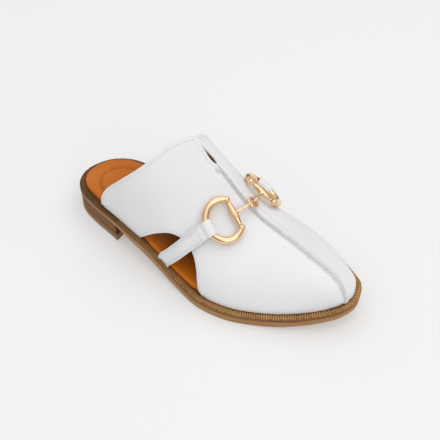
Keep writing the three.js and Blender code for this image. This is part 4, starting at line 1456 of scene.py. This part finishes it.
def make_floor():
    size = 6.0
    mesh = bpy.data.meshes.new("floor")
    corners = [(-size, -size, 0), (size, -size, 0), (size, size, 0), (-size, size, 0)]
    mesh.from_pydata(corners, [], [(0, 1, 2, 3)])
    floor = bpy.data.objects.new("floor", mesh)
    bpy.context.scene.collection.objects.link(floor)
    material, _, _, shader = paint("pale_floor", 0.9, 0.1)
    shader.inputs["Base Color"].default_value = (0.59, 0.59, 0.59, 1)
    shader.inputs["Emission Color"].default_value = (1.0, 1.0, 1.0, 1)
    shader.inputs["Emission Strength"].default_value = 0.31
    mesh.materials.append(material)


def area_light(name, spot, aim, size, power):
    light = bpy.data.lights.new(name, "AREA")
    light.shape = "RECTANGLE"
    light.size, light.size_y = size
    light.energy = power
    lamp = bpy.data.objects.new(name, light)
    lamp.location = spot
    lamp.rotation_mode = "QUATERNION"
    lamp.rotation_quaternion = (Vector(aim) - Vector(spot)).to_track_quat("-Z", "Y")
    bpy.context.scene.collection.objects.link(lamp)


# Each softbox: where it hangs, its width and height, and its power in watts.
SOFTBOXES = {
    "top_softbox": ((0.2, 0.3, 1.5), (1.8, 1.8), 7),
    "toe_softbox": ((1.4, -0.9, 1.0), (1.0, 1.2), 5.5),
    "side_softbox": ((-0.5, -1.7, 0.9), (1.4, 1.0), 1.8),
}
LIGHT_AIM = (0, 0, 0.03)
# The grey of the surroundings from below the horizon to overhead.
SURROUNDINGS = [(0.0, 0.12), (0.18, 0.08), (0.34, 0.5), (0.7, 0.82)]


def make_light():
    world = bpy.data.worlds.new("studio")
    world.use_nodes = True
    nodes, links = world.node_tree.nodes, world.node_tree.links
    split = nodes.new("ShaderNodeSeparateXYZ")
    links.new(nodes.new("ShaderNodeTexCoord").outputs["Generated"], split.inputs["Vector"])
    stops = [(position, (grey, grey, grey)) for position, grey in SURROUNDINGS]
    background = nodes["Background"]
    links.new(colour_ramp(nodes, links, split.outputs["Z"], stops), background.inputs["Color"])
    background.inputs["Strength"].default_value = 1.0
    bpy.context.scene.world = world
    for name, (spot, size, power) in SOFTBOXES.items():
        area_light(name, spot, LIGHT_AIM, size, power)
    bpy.context.scene.view_settings.view_transform = "Standard"
    bpy.context.scene.view_settings.look = "None"


def make_camera():
    eye = Vector(place((365.96, -366.03, 472.10)))
    azimuth, elevation, roll = math.radians(33.29), math.radians(45.27), math.radians(0.76)
    back = Vector((
        math.sin(azimuth) * math.cos(elevation),
        -math.cos(azimuth) * math.cos(elevation),
        math.sin(elevation),
    ))
    data = bpy.data.cameras.new("camera")
    data.sensor_width = 36
    data.lens = 65.4545
    data.shift_x = 0.0239
    data.shift_y = 0.0106
    data.clip_start, data.clip_end = 0.01, 30
    camera = bpy.data.objects.new("camera", data)
    turn = (-back).to_track_quat("-Z", "Y").to_matrix() @ Matrix.Rotation(roll, 3, "Z")
    camera.matrix_world = Matrix.Translation(eye) @ turn.to_4x4()
    bpy.context.scene.collection.objects.link(camera)
    bpy.context.scene.camera = camera


make_floor()
make_light()
make_camera()
